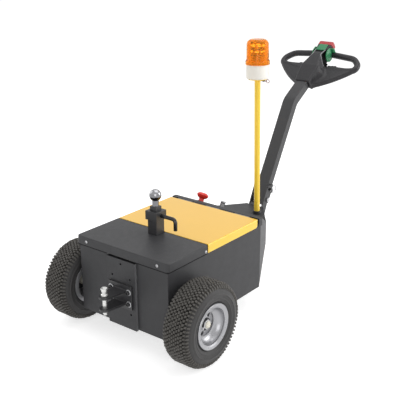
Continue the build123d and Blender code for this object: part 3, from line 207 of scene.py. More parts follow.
MATERIALS = {
    "body_grey": surface("powder_coat_grey", linear(51, 51, 53), 0.5, grain=0.35, grain_size=1.6, edge=0.35,
                         soften=2.0, Specular_IOR_Level=0.35),
    "inner_black": surface("black_paint", linear(38, 38, 40), 0.5, grain=0.3, edge=0.2),
    "lid_yellow": surface("powder_coat_yellow", linear(240, 186, 12), 0.3, grain=0.05, grain_size=8.0,
                          drift=0.03, edge=0.3, soften=2.0, rough_drift=0.012,
                          edge_colour=linear(255, 214, 90), Specular_IOR_Level=0.6, Coat_Weight=0.5,
                          Coat_Roughness=0.12),
    "pole_yellow": surface("gloss_yellow", linear(255, 214, 66), 0.3, grain=0.1, grain_size=3.0, drift=0.03),
    "hitch_black": surface("hitch_paint", linear(46, 46, 48), 0.42, grain=0.4, grain_size=2.0, edge=0.5,
                           soften=1.5, edge_colour=linear(120, 118, 116)),
    "chrome": surface("polished_chrome", linear(150, 150, 153), 0.1, drift=0.05, rough_drift=0.05,
                      Metallic=1.0),
    "bolt_steel": surface("zinc_plate", linear(178, 178, 180), 0.3, grain=0.2, drift=0.1, Metallic=1.0),
    "cast_grey": surface("casting", linear(92, 92, 92), 0.65, grain=0.9, grain_size=3.0, edge=0.3),
    "battery_black": surface("battery_case", linear(44, 44, 46), 0.5, grain=0.5, grain_size=2.0, edge=0.2),
    "stop_red": surface("stop_red", linear(222, 50, 40), 0.2, drift=0.05, soften=1.5),
    "button_red": surface("button_red", linear(170, 44, 48), 0.4, grain=0.3, drift=0.06, soften=4.0),
    "lever_green": surface("lever_green", linear(36, 122, 76), 0.42, grain=0.3, drift=0.08, soften=1.5,
                           edge=0.15),
    "switch_black": surface("switch_black", linear(52, 52, 54), 0.35, grain=0.2, edge=0.25),
    "beacon_white": surface("beacon_white", linear(246, 243, 235), 0.32, drift=0.02, soften=2.0),
    "reflector": surface("bright_reflector", linear(225, 214, 190), 0.2, drift=0.05, Metallic=1.0),
    "mast_grey": surface("mast_coat", linear(50, 50, 52), 0.4, grain=0.4, grain_size=1.6, edge=0.35,
                         soften=2.5, Specular_IOR_Level=0.4),
    "tiller_black": surface("moulded_charcoal", linear(34, 33, 36), 0.42, grain=0.6, grain_size=1.2,
                            drift=0.08, Specular_IOR_Level=0.35),
    "castor_grey": surface("castor_rubber", linear(84, 84, 84), 0.7, grain=0.4, edge=0.2),
    "tyre_black": surface("tyre_rubber", linear(82, 80, 77), 0.6, grain=0.7, grain_size=2.2, drift=0.25,
                          patch=60.0, soften=0.8, edge=0.45, edge_colour=linear(134, 126, 112),
                          Specular_IOR_Level=0.3),
    "rim_silver": surface("silver_paint", linear(168, 168, 171), 0.32, grain=0.3, grain_size=2.0, drift=0.12,
                          soften=1.5, Metallic=0.55),
    "beacon_amber": surface("amber_lens", linear(255, 182, 60), 0.08, drift=0.03, soften=2.0,
                            rough_drift=0.03, Transmission_Weight=0.8, IOR=1.2),
}
# Body grey for the hitch plate, whose side faces are given a painted highlight below.
HITCH_COAT_LIT_SIDES = surface("hitch_plate_coat_lit_sides", linear(51, 51, 53), 0.5, grain=0.35, grain_size=1.6, edge=0.35,
                     soften=2.0, Specular_IOR_Level=0.35)
BLACK_OXIDE = surface("black_oxide", linear(26, 26, 27), 0.2, grain=0.15, drift=0.1, soften=1.5)
PIN_STEEL = surface("bright_zinc", linear(214, 214, 212), 0.26, grain=0.15, drift=0.08, Metallic=0.7)
HUB_CREAM = surface("hub_cap_cream", linear(232, 228, 214), 0.4, grain=0.2, edge=0.2)
PIN_RED = surface("wire_red_brown", linear(128, 52, 38), 0.4, drift=0.2)
RUBBER_DARK = surface("dark_rubber", linear(34, 34, 35), 0.6, grain=0.4)
# Painted shade: the carcass between the tread blocks is coloured far darker than the blocks, for the shade in the
# grooves.
GROOVE_SHADE = surface("tread_groove_shade", linear(36, 35, 34), 0.85, grain=0.6, grain_size=2.2, drift=0.2,
                      patch=60.0, Specular_IOR_Level=0.2)
SIDEWALL = surface("tyre_sidewall", linear(55, 54, 54), 0.55, grain=0.5, grain_size=1.6, drift=0.12,
                   patch=30.0, Specular_IOR_Level=0.35)
CAGE_BROWN = surface("lamp_cage_brown", linear(74, 34, 12), 0.4, drift=0.15)
RIM_BRIGHT = surface("polished_rim", linear(160, 160, 163), 0.3, grain=0.2, grain_size=2.0, drift=0.12,
                     Metallic=0.7)
# Painted highlight: light grey for bars along the edges of the head's scoops.
SCOOP_HIGHLIGHT_GREY = surface("painted_edge_highlight", linear(128, 127, 130), 0.3, grain=0.3, drift=0.06)
# Painted shade: near-black for the scoop floors of the tiller head and the strip under the front cover's lip,
# where shade falls.
SHADE_BLACK = surface("painted_shade_black", linear(16, 16, 17), 0.7, grain=0.5, drift=0.1,
                     Specular_IOR_Level=0.15)
# Painted glints: a pale material that glows a little, for the bright dashes behind the beacon's lens.
GLINT_GLOW = surface("painted_glint", linear(255, 240, 205), 0.15, drift=0.05, Emission_Strength=1.4,
                     Emission_Color=linear(255, 232, 180))


# Second colours on parts of a material

EDGE_TURN = (0.5, 0.9)


def repaint(material, share, colour):
    """Mixes a second colour into a material where a share says so."""
    tree = material.node_tree
    socket = tree.nodes["Principled BSDF"].inputs["Base Color"]
    tree.links.new(mix(tree, share, socket.links[0].from_socket, colour), socket)


def behind(material, edge_x):
    """Share that is 1 behind a place along the machine, in millimetres from the axle."""
    tree = material.node_tree
    along = part_of(tree, object_place(tree), "X")
    return maths(tree, "LESS_THAN", along, AXLE_X + edge_x / 1000)


def facing_down(material, start, end):
    """Share that grows from 0 to 1 as a surface turns from start to end, by the rise of its normal."""
    tree = material.node_tree
    return spread(tree, part_of(tree, face_normal(tree), "Z"), From_Min=start, From_Max=end)


def edge_faces(material, beyond):
    """Share that is 1 on faces to the left or right that lie further out than a distance in millimetres."""
    tree = material.node_tree
    far = maths(tree, "ABSOLUTE", part_of(tree, object_place(tree), "Y"))
    outside = maths(tree, "GREATER_THAN", far, beyond / 1000)
    across = maths(tree, "ABSOLUTE", part_of(tree, face_normal(tree), "Y"))
    turned = spread(tree, across, From_Min=EDGE_TURN[0], From_Max=EDGE_TURN[1])
    return maths(tree, "MULTIPLY", turned, outside)


LID_SEAM = 0.4
LID_SKIN = 2.0
PLATE_SKIN = 1.0
CHROME_REFLECTION_TURN = (0.45, -0.5)
LID = MATERIALS["lid_yellow"]
CHROME = MATERIALS["chrome"]
repaint(LID, behind(LID, LID_REAR_X - LID_SEAM), linear(46, 46, 47))
# Painted light: the lid's side faces take a deeper yellow than its top, standing in for the weaker sheen they
# show.
repaint(LID, edge_faces(LID, BODY_HALF - LID_SKIN), linear(252, 204, 0))
# Painted reflection: chrome faces turned downward are darkened, standing in for the dark things they would mirror.
repaint(CHROME, facing_down(CHROME, *CHROME_REFLECTION_TURN), linear(58, 58, 62))
# Painted highlight: the hitch plate's side faces are made much lighter, for light catching its edges.
repaint(HITCH_COAT_LIT_SIDES, edge_faces(HITCH_COAT_LIT_SIDES, HITCH_HALF - PLATE_SKIN), linear(112, 112, 114))

NODE_FINISHES = {"wheel_hub_right": HUB_CREAM, "wheel_hub_left": HUB_CREAM, "beacon_pin": PIN_RED,
                 "hitch_plate": HITCH_COAT_LIT_SIDES, "hitch_pin": BLACK_OXIDE}
for node_name, node in NODES.items():
    for holder in node.material_slots:
        holder.material = NODE_FINISHES.get(node_name, MATERIALS[SLOT_OF[node_name]])


# Mesh helpers

def join_rings(mesh, first, second):
    """Faces between two rings of vertices; a ring of one vertex is a tip."""
    count = max(len(first), len(second))
    for index in range(count):
        after = (index + 1) % count
        corners = [first[index % len(first)], first[after % len(first)]]
        corners += [second[after % len(second)], second[index % len(second)]]
        unique = list(dict.fromkeys(corners))
        if len(unique) > 2:
            mesh.faces.new(unique)


def skin(mesh, rings, closed=False):
    """Faces along a row of rings, which may close on itself."""
    for first, second in zip(rings, rings[1:]):
        join_rings(mesh, first, second)
    if closed:
        join_rings(mesh, rings[-1], rings[0])


def loft(mesh, rings):
    """Faces along a row of rings, with flat ends."""
    skin(mesh, rings)
    mesh.faces.new(rings[0])
    mesh.faces.new(rings[-1])


def circle(mesh, centre, across, along, radius, steps):
    """Ring of vertices about a centre."""
    turns = [2 * pi * step / steps for step in range(steps)]
    return [mesh.verts.new(centre + (across * cos(turn) + along * sin(turn)) * radius) for turn in turns]


def lathe(mesh, profile, origin, axis, steps=40, closed=False):
    """Turns (radius, height) points about an axis; a radius of zero makes a tip."""
    axis = Vector(axis).normalized()
    across = axis.orthogonal().normalized()
    along = axis.cross(across)
    rings = []
    for radius, height in profile:
        centre = Vector(origin) + axis * height
        if radius == 0:
            rings.append([mesh.verts.new(centre)])
        else:
            rings.append(circle(mesh, centre, across, along, radius, steps))
    skin(mesh, rings, closed)


def tube(mesh, points, radius, steps=12, closed=False):
    """Round bar along points, with flat ends unless it closes on itself."""
    count = len(points)
    rings = []
    across = None
    for index, point in enumerate(points):
        before = points[index - 1] if index or closed else point
        after = points[(index + 1) % count] if index < count - 1 or closed else point
        ahead = (after - before).normalized()
        if across is None:
            across = ahead.orthogonal().normalized()
        across = (across - ahead * across.dot(ahead)).normalized()
        rings.append(circle(mesh, point, across, ahead.cross(across), radius, steps))
    if closed:
        skin(mesh, rings, closed=True)
    else:
        loft(mesh, rings)


def block(mesh, centre, axes, sizes, bevel):
    """Box along three directions with all its edges rounded."""
    stretch = Matrix([axis * size for axis, size in zip(axes, sizes)]).transposed().to_4x4()
    made = bmesh.ops.create_cube(mesh, size=1.0, matrix=Matrix.Translation(centre) @ stretch)
    edges = {edge for vertex in made["verts"] for edge in vertex.link_edges}
    bmesh.ops.bevel(mesh, geom=list(edges), offset=bevel, segments=3, affect="EDGES", profile=0.5)


SOFT_CREASE = 38.0
HEX_CREASE = 25.0
WELD_CREASE = 60.0


def piece(name, mesh, body, material, crease=SOFT_CREASE):
    """Finishes a mesh as a named piece of the object, riding on a body."""
    bmesh.ops.recalc_face_normals(mesh, faces=mesh.faces)
    mesh.transform(TO_FRAME)
    data = bpy.data.meshes.new(name)
    mesh.to_mesh(data)
    mesh.free()
    data.polygons.foreach_set("use_smooth", [True] * len(data.polygons))
    data.set_sharp_from_angle(angle=radians(crease))
    data.materials.append(material)
    made = placed(name, data)
    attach(made, body)
    return made


def placed(name, data):
    """Object in the scene that shows a mesh, lamp or camera."""
    made = bpy.data.objects.new(name, data)
    SCENE.collection.objects.link(made)
    return made


# Turf tyres: a carcass with rows of staggered blocks

BLOCKS_ROUND = 69
CARCASS_STEPS = 120
TREAD_LINE = [(165.0, 0.0), (165.0, 35.5), (156.0, 53.5), (145.0, 59.6), (126.0, 62.2)]
GROOVE_LINE = [(157.5, 0.0), (157.5, 34.0), (147.0, 48.8), (140.5, 55.2), (125.0, 60.6)]
TREAD_ROWS = [(0.8, 8.6, 0.0), (10.4, 18.4, 0.5), (20.2, 28.4, 0.0), (30.2, 39.4, 0.5), (41.2, 51.0, 0.0),
              (52.0, 66.0, 0.0)]
BLOCK_SHARES = (0.66, 0.66, 0.66, 0.62, 0.56, 0.5)
SHOULDER_ROW = 4
GROOVE_FROM = 150.0
GROOVE_INDEX, SIDEWALL_INDEX = 1, 2
BLOCK_CUT = 0.7
BLOCK_OUTLINE = [(-BLOCK_CUT, -1), (BLOCK_CUT, -1), (1, -BLOCK_CUT), (1, BLOCK_CUT), (BLOCK_CUT, 1),
                 (-BLOCK_CUT, 1), (-1, BLOCK_CUT), (-1, -BLOCK_CUT)]
BLOCK_FOOT = (1.1, 1.25)
BLOCK_WALL = (1.0, 0.16)
BLOCK_TOP = 0.84
BLOCK_SKEW = 0.22
BLOCK_SHIFT = 0.1
BLOCK_LENGTHS = (0.9, 1.1)
BLOCK_UNEVEN = 0.16
CARCASS = [(76.0, 44.0), (88.6, 48.5), (91.0, 50.8), (94.0, 53.0), (99.5, 57.2), (104.0, 58.6), (105.0, 59.8),
           (107.5, 60.0), (108.5, 59.4), (116.0, 60.5), (120.0, 61.0), (121.0, 62.2), (123.0, 62.2),
           (124.2, 61.0), (131.0, 59.9), (136.0, 58.4), (141.0, 55.2), (146.5, 49.4), (153.0, 41.5),
           (157.4, 33.0), (158.4, 16.0), (158.4, 0.0)]


def on_line(line, along):
    """Point (radius, offset) at a distance along the tread line, read from a matching line."""
    last = len(TREAD_LINE) - 2
    for index in range(last + 1):
        near, far = TREAD_LINE[index:index + 2]
        run = hypot(far[0] - near[0], far[1] - near[1])
        if along <= run or index == last:
            break
        along -= run
    share = along / run
    near, far = line[index:index + 2]
    return near[0] + (far[0] - near[0]) * share, near[1] + (far[1] - near[1]) * share


def tread_block(mesh, start, end, middle_turn, side, centre, half_turn, skew, sunk):
    """One slanted tread block with cut corners, a bevelled top and sloping sides."""
    middle, reach = (start + end) / 2, (end - start) / 2

    def corner(across, turned, depth):
        along = middle + across * reach
        top, low = on_line(TREAD_LINE, along), on_line(GROOVE_LINE, along)
        radius = top[0] + (low[0] - top[0]) * depth
        offset = top[1] + (low[1] - top[1]) * depth
        turn = middle_turn + (turned + across * skew) * half_turn
        return mesh.verts.new(centre + Vector((radius * cos(turn), side * offset, radius * sin(turn))))

    levels = [BLOCK_FOOT, (BLOCK_WALL[0], BLOCK_WALL[1] + sunk), (BLOCK_TOP, sunk)]
    rings = []
    for scale, depth in levels:
        rings.append([corner(across * scale, turned * scale, depth) for across, turned in BLOCK_OUTLINE])
    rings.append([corner(0, 0, sunk)])
    skin(mesh, rings)


def turf_tyre(side_name, side):
    """Tyre with raised tread, in the place of the plain solid tyre."""
    mesh = bmesh.new()
    centre = Vector((0, side * TRACK_HALF, AXLE_Z))
    ring = CARCASS + [(radius, -offset) for radius, offset in reversed(CARCASS[:-1])]
    lathe(mesh, ring, centre, (0, 1, 0), steps=CARCASS_STEPS, closed=True)
    # Carcass faces far out, between the blocks, take the painted groove shade; the rest take the sidewall colour.
    for face in mesh.faces:
        away = face.calc_center_median() - centre
        in_groove = hypot(away.x, away.z) > GROOVE_FROM
        face.material_index = GROOVE_INDEX if in_groove else SIDEWALL_INDEX
    uneven = Random(BLOCKS_ROUND)
    for row, (start, end, stagger) in enumerate(TREAD_ROWS):
        plain = row >= SHOULDER_ROW
        skew = 0.0 if plain else BLOCK_SKEW * (1 if row % 2 else -1)
        for half in (-1, 1):
            for index in range(BLOCKS_ROUND):
                lag = stagger + (0.5 if half < 0 else 0.0)
                lag += 0.0 if plain else uneven.uniform(-BLOCK_SHIFT, BLOCK_SHIFT)
                turn = 2 * pi * (index + lag) / BLOCKS_ROUND
                half_turn = BLOCK_SHARES[row] * pi / BLOCKS_ROUND * uneven.uniform(*BLOCK_LENGTHS)
                sunk = uneven.uniform(0, BLOCK_UNEVEN)
                tread_block(mesh, start, end, turn, half, centre, half_turn, skew, sunk)
    body = f"drive_wheel_{side_name}"
    made = piece(f"turf_tyre_{side_name}", mesh, body, MATERIALS["tyre_black"])
    made.data.materials.append(GROOVE_SHADE)
    made.data.materials.append(SIDEWALL)
    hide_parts(f"tyre_{side_name}")


# Wheel details

RIM_BEAD = [(71.9, -8.0), (72.3, -3.5), (74.0, -0.2), (77.0, 1.6), (80.5, 2.4), (83.0, 3.4), (85.5, 4.6),
            (87.6, 4.4), (89.2, 2.6), (89.4, 0.4), (88.6, -1.5)]
RIM_BOWL = [(46.0, 1.2), (49.0, 1.6), (55.0, 4.2), (61.0, 8.6), (66.0, 14.0), (69.5, 20.0), (71.6, 27.0),
            (71.9, 27.0), (71.9, 0.0), (46.0, 0.0)]
DRIVE_FLANGE = [(27.0, -9.0), (47.0, -9.0), (47.0, -12.0), (27.0, -12.0)]
HUB_SEAT = [(13.0, 0.2), (24.5, 0.2), (24.5, 1.8), (13.0, 1.8)]
HUB_NUT = [(HUB_CAP_RADIUS, 3.0), (21.0, 3.0), (21.0, 9.0), (19.0, 11.0), (HUB_CAP_RADIUS, 11.0)]
HUB_NUT_SINK = 1.0
VALVE_BOOT = [(6.2, -4.0), (6.2, 2.0), (4.6, 8.0), (4.2, 16.0)]
VALVE_CAP = [(4.8, 16.0), (5.0, 17.0), (5.0, 25.0), (4.2, 27.0), (0.0, 27.0)]
VALVE_AHEAD, VALVE_RISE, VALVE_SINK = 42.08, 5.0, 4.0


def wheel_details(side_name, side):
    """Rolled rim bead, bowl, drive flange, hub nut and tyre valve of one drive wheel."""
    body = f"drive_wheel_{side_name}"
    centre = Vector((0, side * TRACK_HALF, AXLE_Z))
    outward = Vector((0, side, 0))
    face = centre + outward * RIM_FACE
    bead = bmesh.new()
    lathe(bead, RIM_BEAD, centre + outward * RIM_OUTER, outward, steps=96, closed=True)
    piece(f"rim_bead_{side_name}", bead, body, RIM_BRIGHT)
    bowl = bmesh.new()
    lathe(bowl, RIM_BOWL, face, outward, steps=96, closed=True)
    piece(f"rim_bowl_{side_name}", bowl, body, RIM_BRIGHT)
    flange = bmesh.new()
    lathe(flange, DRIVE_FLANGE, face, outward, steps=48, closed=True)
    lathe(flange, HUB_SEAT, face, outward, steps=48, closed=True)
    piece(f"drive_flange_{side_name}", flange, body, RUBBER_DARK)
    nut = bmesh.new()
    lathe(nut, HUB_NUT, centre + outward * (RIM_FACE - HUB_NUT_SINK), outward, steps=6, closed=True)
    piece(f"hub_nut_{side_name}", nut, body, MATERIALS["bolt_steel"], crease=HEX_CREASE)
    seat = Vector((VALVE_AHEAD, side * (TRACK_HALF + RIM_FACE - VALVE_SINK), AXLE_Z + VALVE_RISE))
    boot = bmesh.new()
    lathe(boot, VALVE_BOOT, seat, outward, steps=20)
    piece(f"valve_boot_{side_name}", boot, body, RUBBER_DARK)
    cap = bmesh.new()
    lathe(cap, VALVE_CAP, seat, outward, steps=12)
    piece(f"valve_cap_{side_name}", cap, body, MATERIALS["bolt_steel"])


for wheel_name, wheel_side in SIDES:
    turf_tyre(wheel_name, wheel_side)
    wheel_details(wheel_name, wheel_side)


# Moulded tiller head: the solid's own form with webs added, flanks scooped and every edge rounded over

HEAD_VOXEL = 0.0024
HEAD_PASSES = 6
BLEND_PASSES = 60
BLEND_NEAR = (1.0, 8.0)
BLEND_FAR = (62.0, 34.0)
BLEND_ALONG = (-6.0, -26.0)
BLEND_RISE = (-14.0, -4.0)
CREST = [(-400.0, 40.0), (-150.0, 40.0), (-55.0, 47.0), (24.0, 25.0), (50.0, 32.0), (400.0, 39.0)]
CREST_CLIMB = (-150.0, -55.0)
NECK_TOP = 46.0
HEAD_TOP = 59.0
WEB_START = -148.0
WEB_FULL = -75.0
WEB_END = -4.0
WEB_STATIONS = 16
WEB_STEPS = 12
WEB_HOLLOW = 2.2
WEB_DROP = 5.0
WEB_ROOT = 8.0
WEB_REACH = 64.0
WEB_LEAST = 1.5
WEB_FOOT = 0.5
WEB_LOW = -10.0
WING_START = 27.0
WING_NECK = -137.0
WING_GROWTH = 1.3
FILL_HALF = 31.0
FILL_START = 51.0
FILL_END = 99.0
FILL_LOW = 30.0
FILL_HIGH = 52.0
FILL_FALL = 0.1
SCOOP_INNER = 22.5
SCOOP_OUTER = 58.0
SCOOP_CENTRE = (24.0, 20.0)
SCOOP_RADIUS = 37.0
SCOOP_FLOOR = -4.0
SCOOP_LIP = 2.0
SCOOP_END = 64.0
SCOOP_END_TOP = 42.0
SCOOP_STEPS = 24
SCOOP_STEP = 7.5
SAME_PLACE = 1e-6


def head_point(across, along, rise):
    """Point on the tiller head's own axes."""
    return HEAD_ORIGIN + HEAD_U * across + HEAD_V * along + HEAD_H * rise


def head_ring(mesh, spots):
    """Ring of vertices at (across, along, rise) places on the head, in the frame's metres."""
    return [mesh.verts.new(TO_FRAME @ head_point(*spot)) for spot in spots]


def crest_half(along):
    """Half width of the top of the head at a distance along it."""
    for (start, first), (end, second) in zip(CREST, CREST[1:]):
        if along <= end:
            return first + (second - first) * max(0.0, along - start) / (end - start)
    return CREST[-1][1]


def ramp(value, low, high):
    """Share from 0 at low to 1 at high."""
    return min(1.0, max(0.0, (value - low) / (high - low)))


def crest_top(along):
    """Height of the head's top edge at a distance along it."""
    return NECK_TOP + (HEAD_TOP - NECK_TOP) * ramp(along, *CREST_CLIMB)


def blend_share(point):
    """How strongly the head is smoothed at a point: most where its sides run into the wings."""
    away = point - HEAD_ORIGIN
    along, rise = away.dot(HEAD_V), away.dot(HEAD_H)
    beyond = abs(away.dot(HEAD_U)) - crest_half(along)
    beside = ramp(beyond, *BLEND_NEAR) * ramp(beyond, *BLEND_FAR)
    return beside * ramp(along, *BLEND_ALONG) * ramp(rise, *BLEND_RISE)


def web_outline(along):
    """Section of one web as (across, rise) points: hollow from the head's side down to the wing."""
    half, top = crest_half(along), crest_top(along) - WEB_DROP
    wing_edge = WING_START + WING_GROWTH * (along - WING_NECK)
    reach = max(WEB_LEAST, min(WEB_REACH * ramp(along, WEB_END, WEB_FULL), wing_edge - half))
    outline = [(half - WEB_ROOT, WEB_LOW), (half - WEB_ROOT, top)]
    for step in range(WEB_STEPS + 1):
        share = step / WEB_STEPS
        outline.append((half + reach * share, WEB_FOOT + (top - WEB_FOOT) * (1 - share) ** WEB_HOLLOW))
    outline.append((half + reach, WEB_LOW))
    return outline


def add_webs(data):
    """Adds the webs between head and wings, and the bed under the horn plate."""
    mesh = bmesh.new()
    mesh.from_mesh(data)
    length = WEB_END - WEB_START
    stations = [WEB_START + length * step / WEB_STATIONS for step in range(WEB_STATIONS + 1)]
    for side in (-1, 1):
        rings = []
        for along in stations:
            spots = [(side * across, along, rise) for across, rise in web_outline(along)]
            rings.append(head_ring(mesh, spots))
        loft(mesh, rings)
    rings = []
    for along in (FILL_START, FILL_END):
        top = FILL_HIGH - FILL_FALL * (along - FILL_START)
        outline = [(-FILL_HALF, FILL_LOW), (FILL_HALF, FILL_LOW), (FILL_HALF, top), (-FILL_HALF, top)]
        rings.append(head_ring(mesh, [(across, along, rise) for across, rise in outline]))
    loft(mesh, rings)
    bmesh.ops.recalc_face_normals(mesh, faces=mesh.faces)
    mesh.to_mesh(data)
    mesh.free()


def scoop_arc(radius):
    """Rounded front of the scoop, as (along, rise) points from its top to its floor."""
    points = []
    for step in range(SCOOP_STEPS + 1):
        turn = radians(90.0 + SCOOP_STEP * step)
        rise = SCOOP_CENTRE[1] + radius * sin(turn)
        points.append((SCOOP_CENTRE[0] + radius * cos(turn), max(SCOOP_FLOOR, rise)))
    return points


def scoop_cutter():
    """Round-ended cutters that hollow the head in front of each thumb lever."""
    mesh = bmesh.new()
    outline = [(SCOOP_END, SCOOP_END_TOP), *scoop_arc(SCOOP_RADIUS), (SCOOP_END, SCOOP_FLOOR)]
    for side in (-1, 1):
        loft(mesh, [head_ring(mesh, [(side * across, *spot) for spot in outline])
                    for across in (SCOOP_INNER, SCOOP_OUTER)])
    bmesh.ops.remove_doubles(mesh, verts=mesh.verts, dist=SAME_PLACE)
    bmesh.ops.recalc_face_normals(mesh, faces=mesh.faces)
    data = bpy.data.meshes.new("scoop_cutter")
    mesh.to_mesh(data)
    mesh.free()
    return placed("scoop_cutter", data)


def settled(rough):
    """Mesh of an object with its modifiers taken in, after which the object goes."""
    bpy.context.view_layer.update()
    data = bpy.data.meshes.new_from_object(rough.evaluated_get(bpy.context.evaluated_depsgraph_get()))
    bpy.data.objects.remove(rough)
    return data


def add_remesh(rough, name):
    """Adds a modifier that makes one closed skin of small even faces."""
    remesh = rough.modifiers.new(name, "REMESH")
    remesh.mode = "VOXEL"
    remesh.voxel_size = HEAD_VOXEL


def scooped_head():
    """The head's solid with its webs, made whole and scooped."""
    cutter = scoop_cutter()
    webbed = NODES["tiller_head"].data.copy()
    add_webs(webbed)
    rough = placed("head_rough", webbed)
    add_remesh(rough, "whole")
    cut = rough.modifiers.new("cut", "BOOLEAN")
    cut.operation = "DIFFERENCE"
    cut.object = cutter
    add_remesh(rough, "remesh")
    data = settled(rough)
    bpy.data.objects.remove(cutter)
    return data


def smoothed_head(data, to_axle):
    """The scooped head, smoothed all over and most where its sides run into the wings."""
    rough = placed("head_rough", data)
    group = rough.vertex_groups.new(name="blend")
    for vertex in data.vertices:
        group.add([vertex.index], blend_share(to_axle @ vertex.co), "REPLACE")
    blend = rough.modifiers.new("blend", "SMOOTH")
    blend.vertex_group = "blend"
    blend.iterations = BLEND_PASSES
    even = rough.modifiers.new("even", "SMOOTH")
    even.iterations = HEAD_PASSES
    return settled(rough)


def moulded_head():
    """The finished head, in the place of the plain solid; gives its shape back for laying things on it."""
    to_axle = TO_FRAME.inverted()
    data = smoothed_head(scooped_head(), to_axle)
    data.name = "tiller_moulding"
    data.polygons.foreach_set("use_smooth", [True] * len(data.polygons))
    data.materials.clear()
    data.materials.append(MATERIALS["tiller_black"])
    data.materials.append(SHADE_BLACK)
    # Faces inside each scoop take the near-black painted shade.
    for polygon in data.polygons:
        away = to_axle @ polygon.center - HEAD_ORIGIN
        across, along, rise = abs(away.dot(HEAD_U)), away.dot(HEAD_V), away.dot(HEAD_H)
        reach = hypot(min(0.0, along - SCOOP_CENTRE[0]), rise - SCOOP_CENTRE[1])
        inside = reach < SCOOP_RADIUS - SCOOP_LIP
        polygon.material_index = int(inside and along < SCOOP_END and across < SCOOP_OUTER)
    made = placed("tiller_moulding", data)
    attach(made, "mast")
    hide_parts("tiller_head")
    return BVHTree.FromPolygons([to_axle @ vertex.co for vertex in data.vertices],
                                [tuple(polygon.vertices) for polygon in data.polygons])


# Painted highlight: light bars that lie on the head round each scoop's edge

SCOOP_RIM_LEAD = [(60.0, 51.0), (50.0, 55.0), (38.0, 57.0)]
SCOOP_RIM_ABOVE = 1.5
SCOOP_RIM_TOP = 57.5
SCOOP_RIM_STEPS = 14
SCOOP_RIM_RADIUS = 2.4
HEAD_SHAPE = moulded_head()
for side_name, side in SIDES:
    ring = []
    for along, rise in SCOOP_RIM_LEAD + scoop_arc(SCOOP_RADIUS + SCOOP_RIM_ABOVE)[:SCOOP_RIM_STEPS]:
        start = head_point(side * SCOOP_OUTER, along, min(rise, SCOOP_RIM_TOP))
        hit = HEAD_SHAPE.ray_cast(start, HEAD_U * -side)[0]
        if hit:
            ring.append(hit)
    rim = bmesh.new()
    tube(rim, ring, SCOOP_RIM_RADIUS, steps=12)
    piece(f"scoop_highlight_{side_name}", rim, "mast", SCOOP_HIGHLIGHT_GREY)


# Thumb levers: thin discs with a hub and an outer paddle, and the horn plate between them

LEVER_INNER = 30.0
LEVER_SPOT = (59.0, 19.0)
LEVER_DISC = [(0.0, 13.0), (13.0, 12.5), (23.0, 11.2), (25.6, 9.8), (27.0, 11.0), (30.6, 10.8), (32.6, 9.4),
              (33.0, 8.0), (32.4, 6.0), (14.0, 5.5), (12.0, 4.5), (12.0, -9.0), (0.0, -9.0)]
PADDLE_SPOT = (46.0, 88.0, 17.0)
PADDLE_SIZE = (18.0, 13.0, 38.0)
PADDLE_ROUND = 5.5
HORN_SPOT = (0.0, 75.0, 50.4)
HORN_SIZE = (46.0, 44.0, 6.0)
HORN_ROUND = 1.6
HORN_FALL = Vector((0, 50.0, -5.0)).normalized()
HORN_ALONG = HEAD_V * HORN_FALL.y + HEAD_H * HORN_FALL.z
levers = bmesh.new()
for side in (-1, 1):
    lathe(levers, LEVER_DISC, head_point(side * LEVER_INNER, *LEVER_SPOT), HEAD_U * side, steps=48)
for side in (-1, 1):
    paddle = head_point(side * PADDLE_SPOT[0], *PADDLE_SPOT[1:])
    block(levers, paddle, HEAD_AXES, PADDLE_SIZE, PADDLE_ROUND)
horn_axes = (HEAD_U, HORN_ALONG, HEAD_U.cross(HORN_ALONG))
block(levers, head_point(*HORN_SPOT), horn_axes, HORN_SIZE, HORN_ROUND)
lever_set = piece("lever_set", levers, "mast", MATERIALS["lever_green"])
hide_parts("throttle_levers")


# Fasteners: their shapes are shares of a head's radius and height

def button_screw(mesh, seat, axis, radius, height):
    """Dome-headed screw with a hexagon socket."""
    dome = [(radius, 0.0), (radius, 0.25 * height), (0.86 * radius, 0.66 * height),
            (0.6 * radius, 0.94 * height), (0.42 * radius, height)]
    socket = [(0.42 * radius, height), (0.4 * radius, 0.4 * height), (0.0, 0.35 * height)]
    lathe(mesh, dome, seat, axis, steps=24)
    lathe(mesh, socket, seat, axis, steps=6)


def socket_bolt(mesh, seat, axis, radius, height):
    """Cap screw with a hexagon socket in its top."""
    outer = [(radius, 0.0), (radius, 0.9 * height), (0.92 * radius, height), (0.6 * radius, height)]
    socket = [(0.6 * radius, height), (0.56 * radius, 0.5 * height), (0.0, 0.45 * height)]
    lathe(mesh, outer, seat, axis, steps=24)
    lathe(mesh, socket, seat, axis, steps=6)


def hex_bolt(mesh, seat, axis, radius, height, washer_radius):
    """Hexagon head on a plain washer."""
    thick = 0.22 * height
    plate = [(0.0, 0.0), (washer_radius, 0.0), (washer_radius, 0.8 * thick), (0.94 * washer_radius, thick),
             (0.0, thick)]
    head = [(radius, thick), (radius, 0.88 * height), (0.9 * radius, height), (0.62 * radius, height),
            (0.55 * radius, 0.93 * height), (0.0, 0.93 * height)]
    lathe(mesh, plate, seat, axis, steps=32)
    lathe(mesh, head, seat, axis, steps=6)


def washer(mesh, seat, axis, outer, inner, thick):
    """Thick ring with rounded edges."""
    edge = 0.3 * thick
    ring = [(inner, 0.0), (outer, 0.0), (outer, thick - edge), (outer - edge, thick), (inner + edge, thick),
            (inner, thick - edge)]
    lathe(mesh, ring, seat, axis, steps=32, closed=True)


# Front cover: four screws, and a near-black strip along its lower edge that paints the shade under the lip

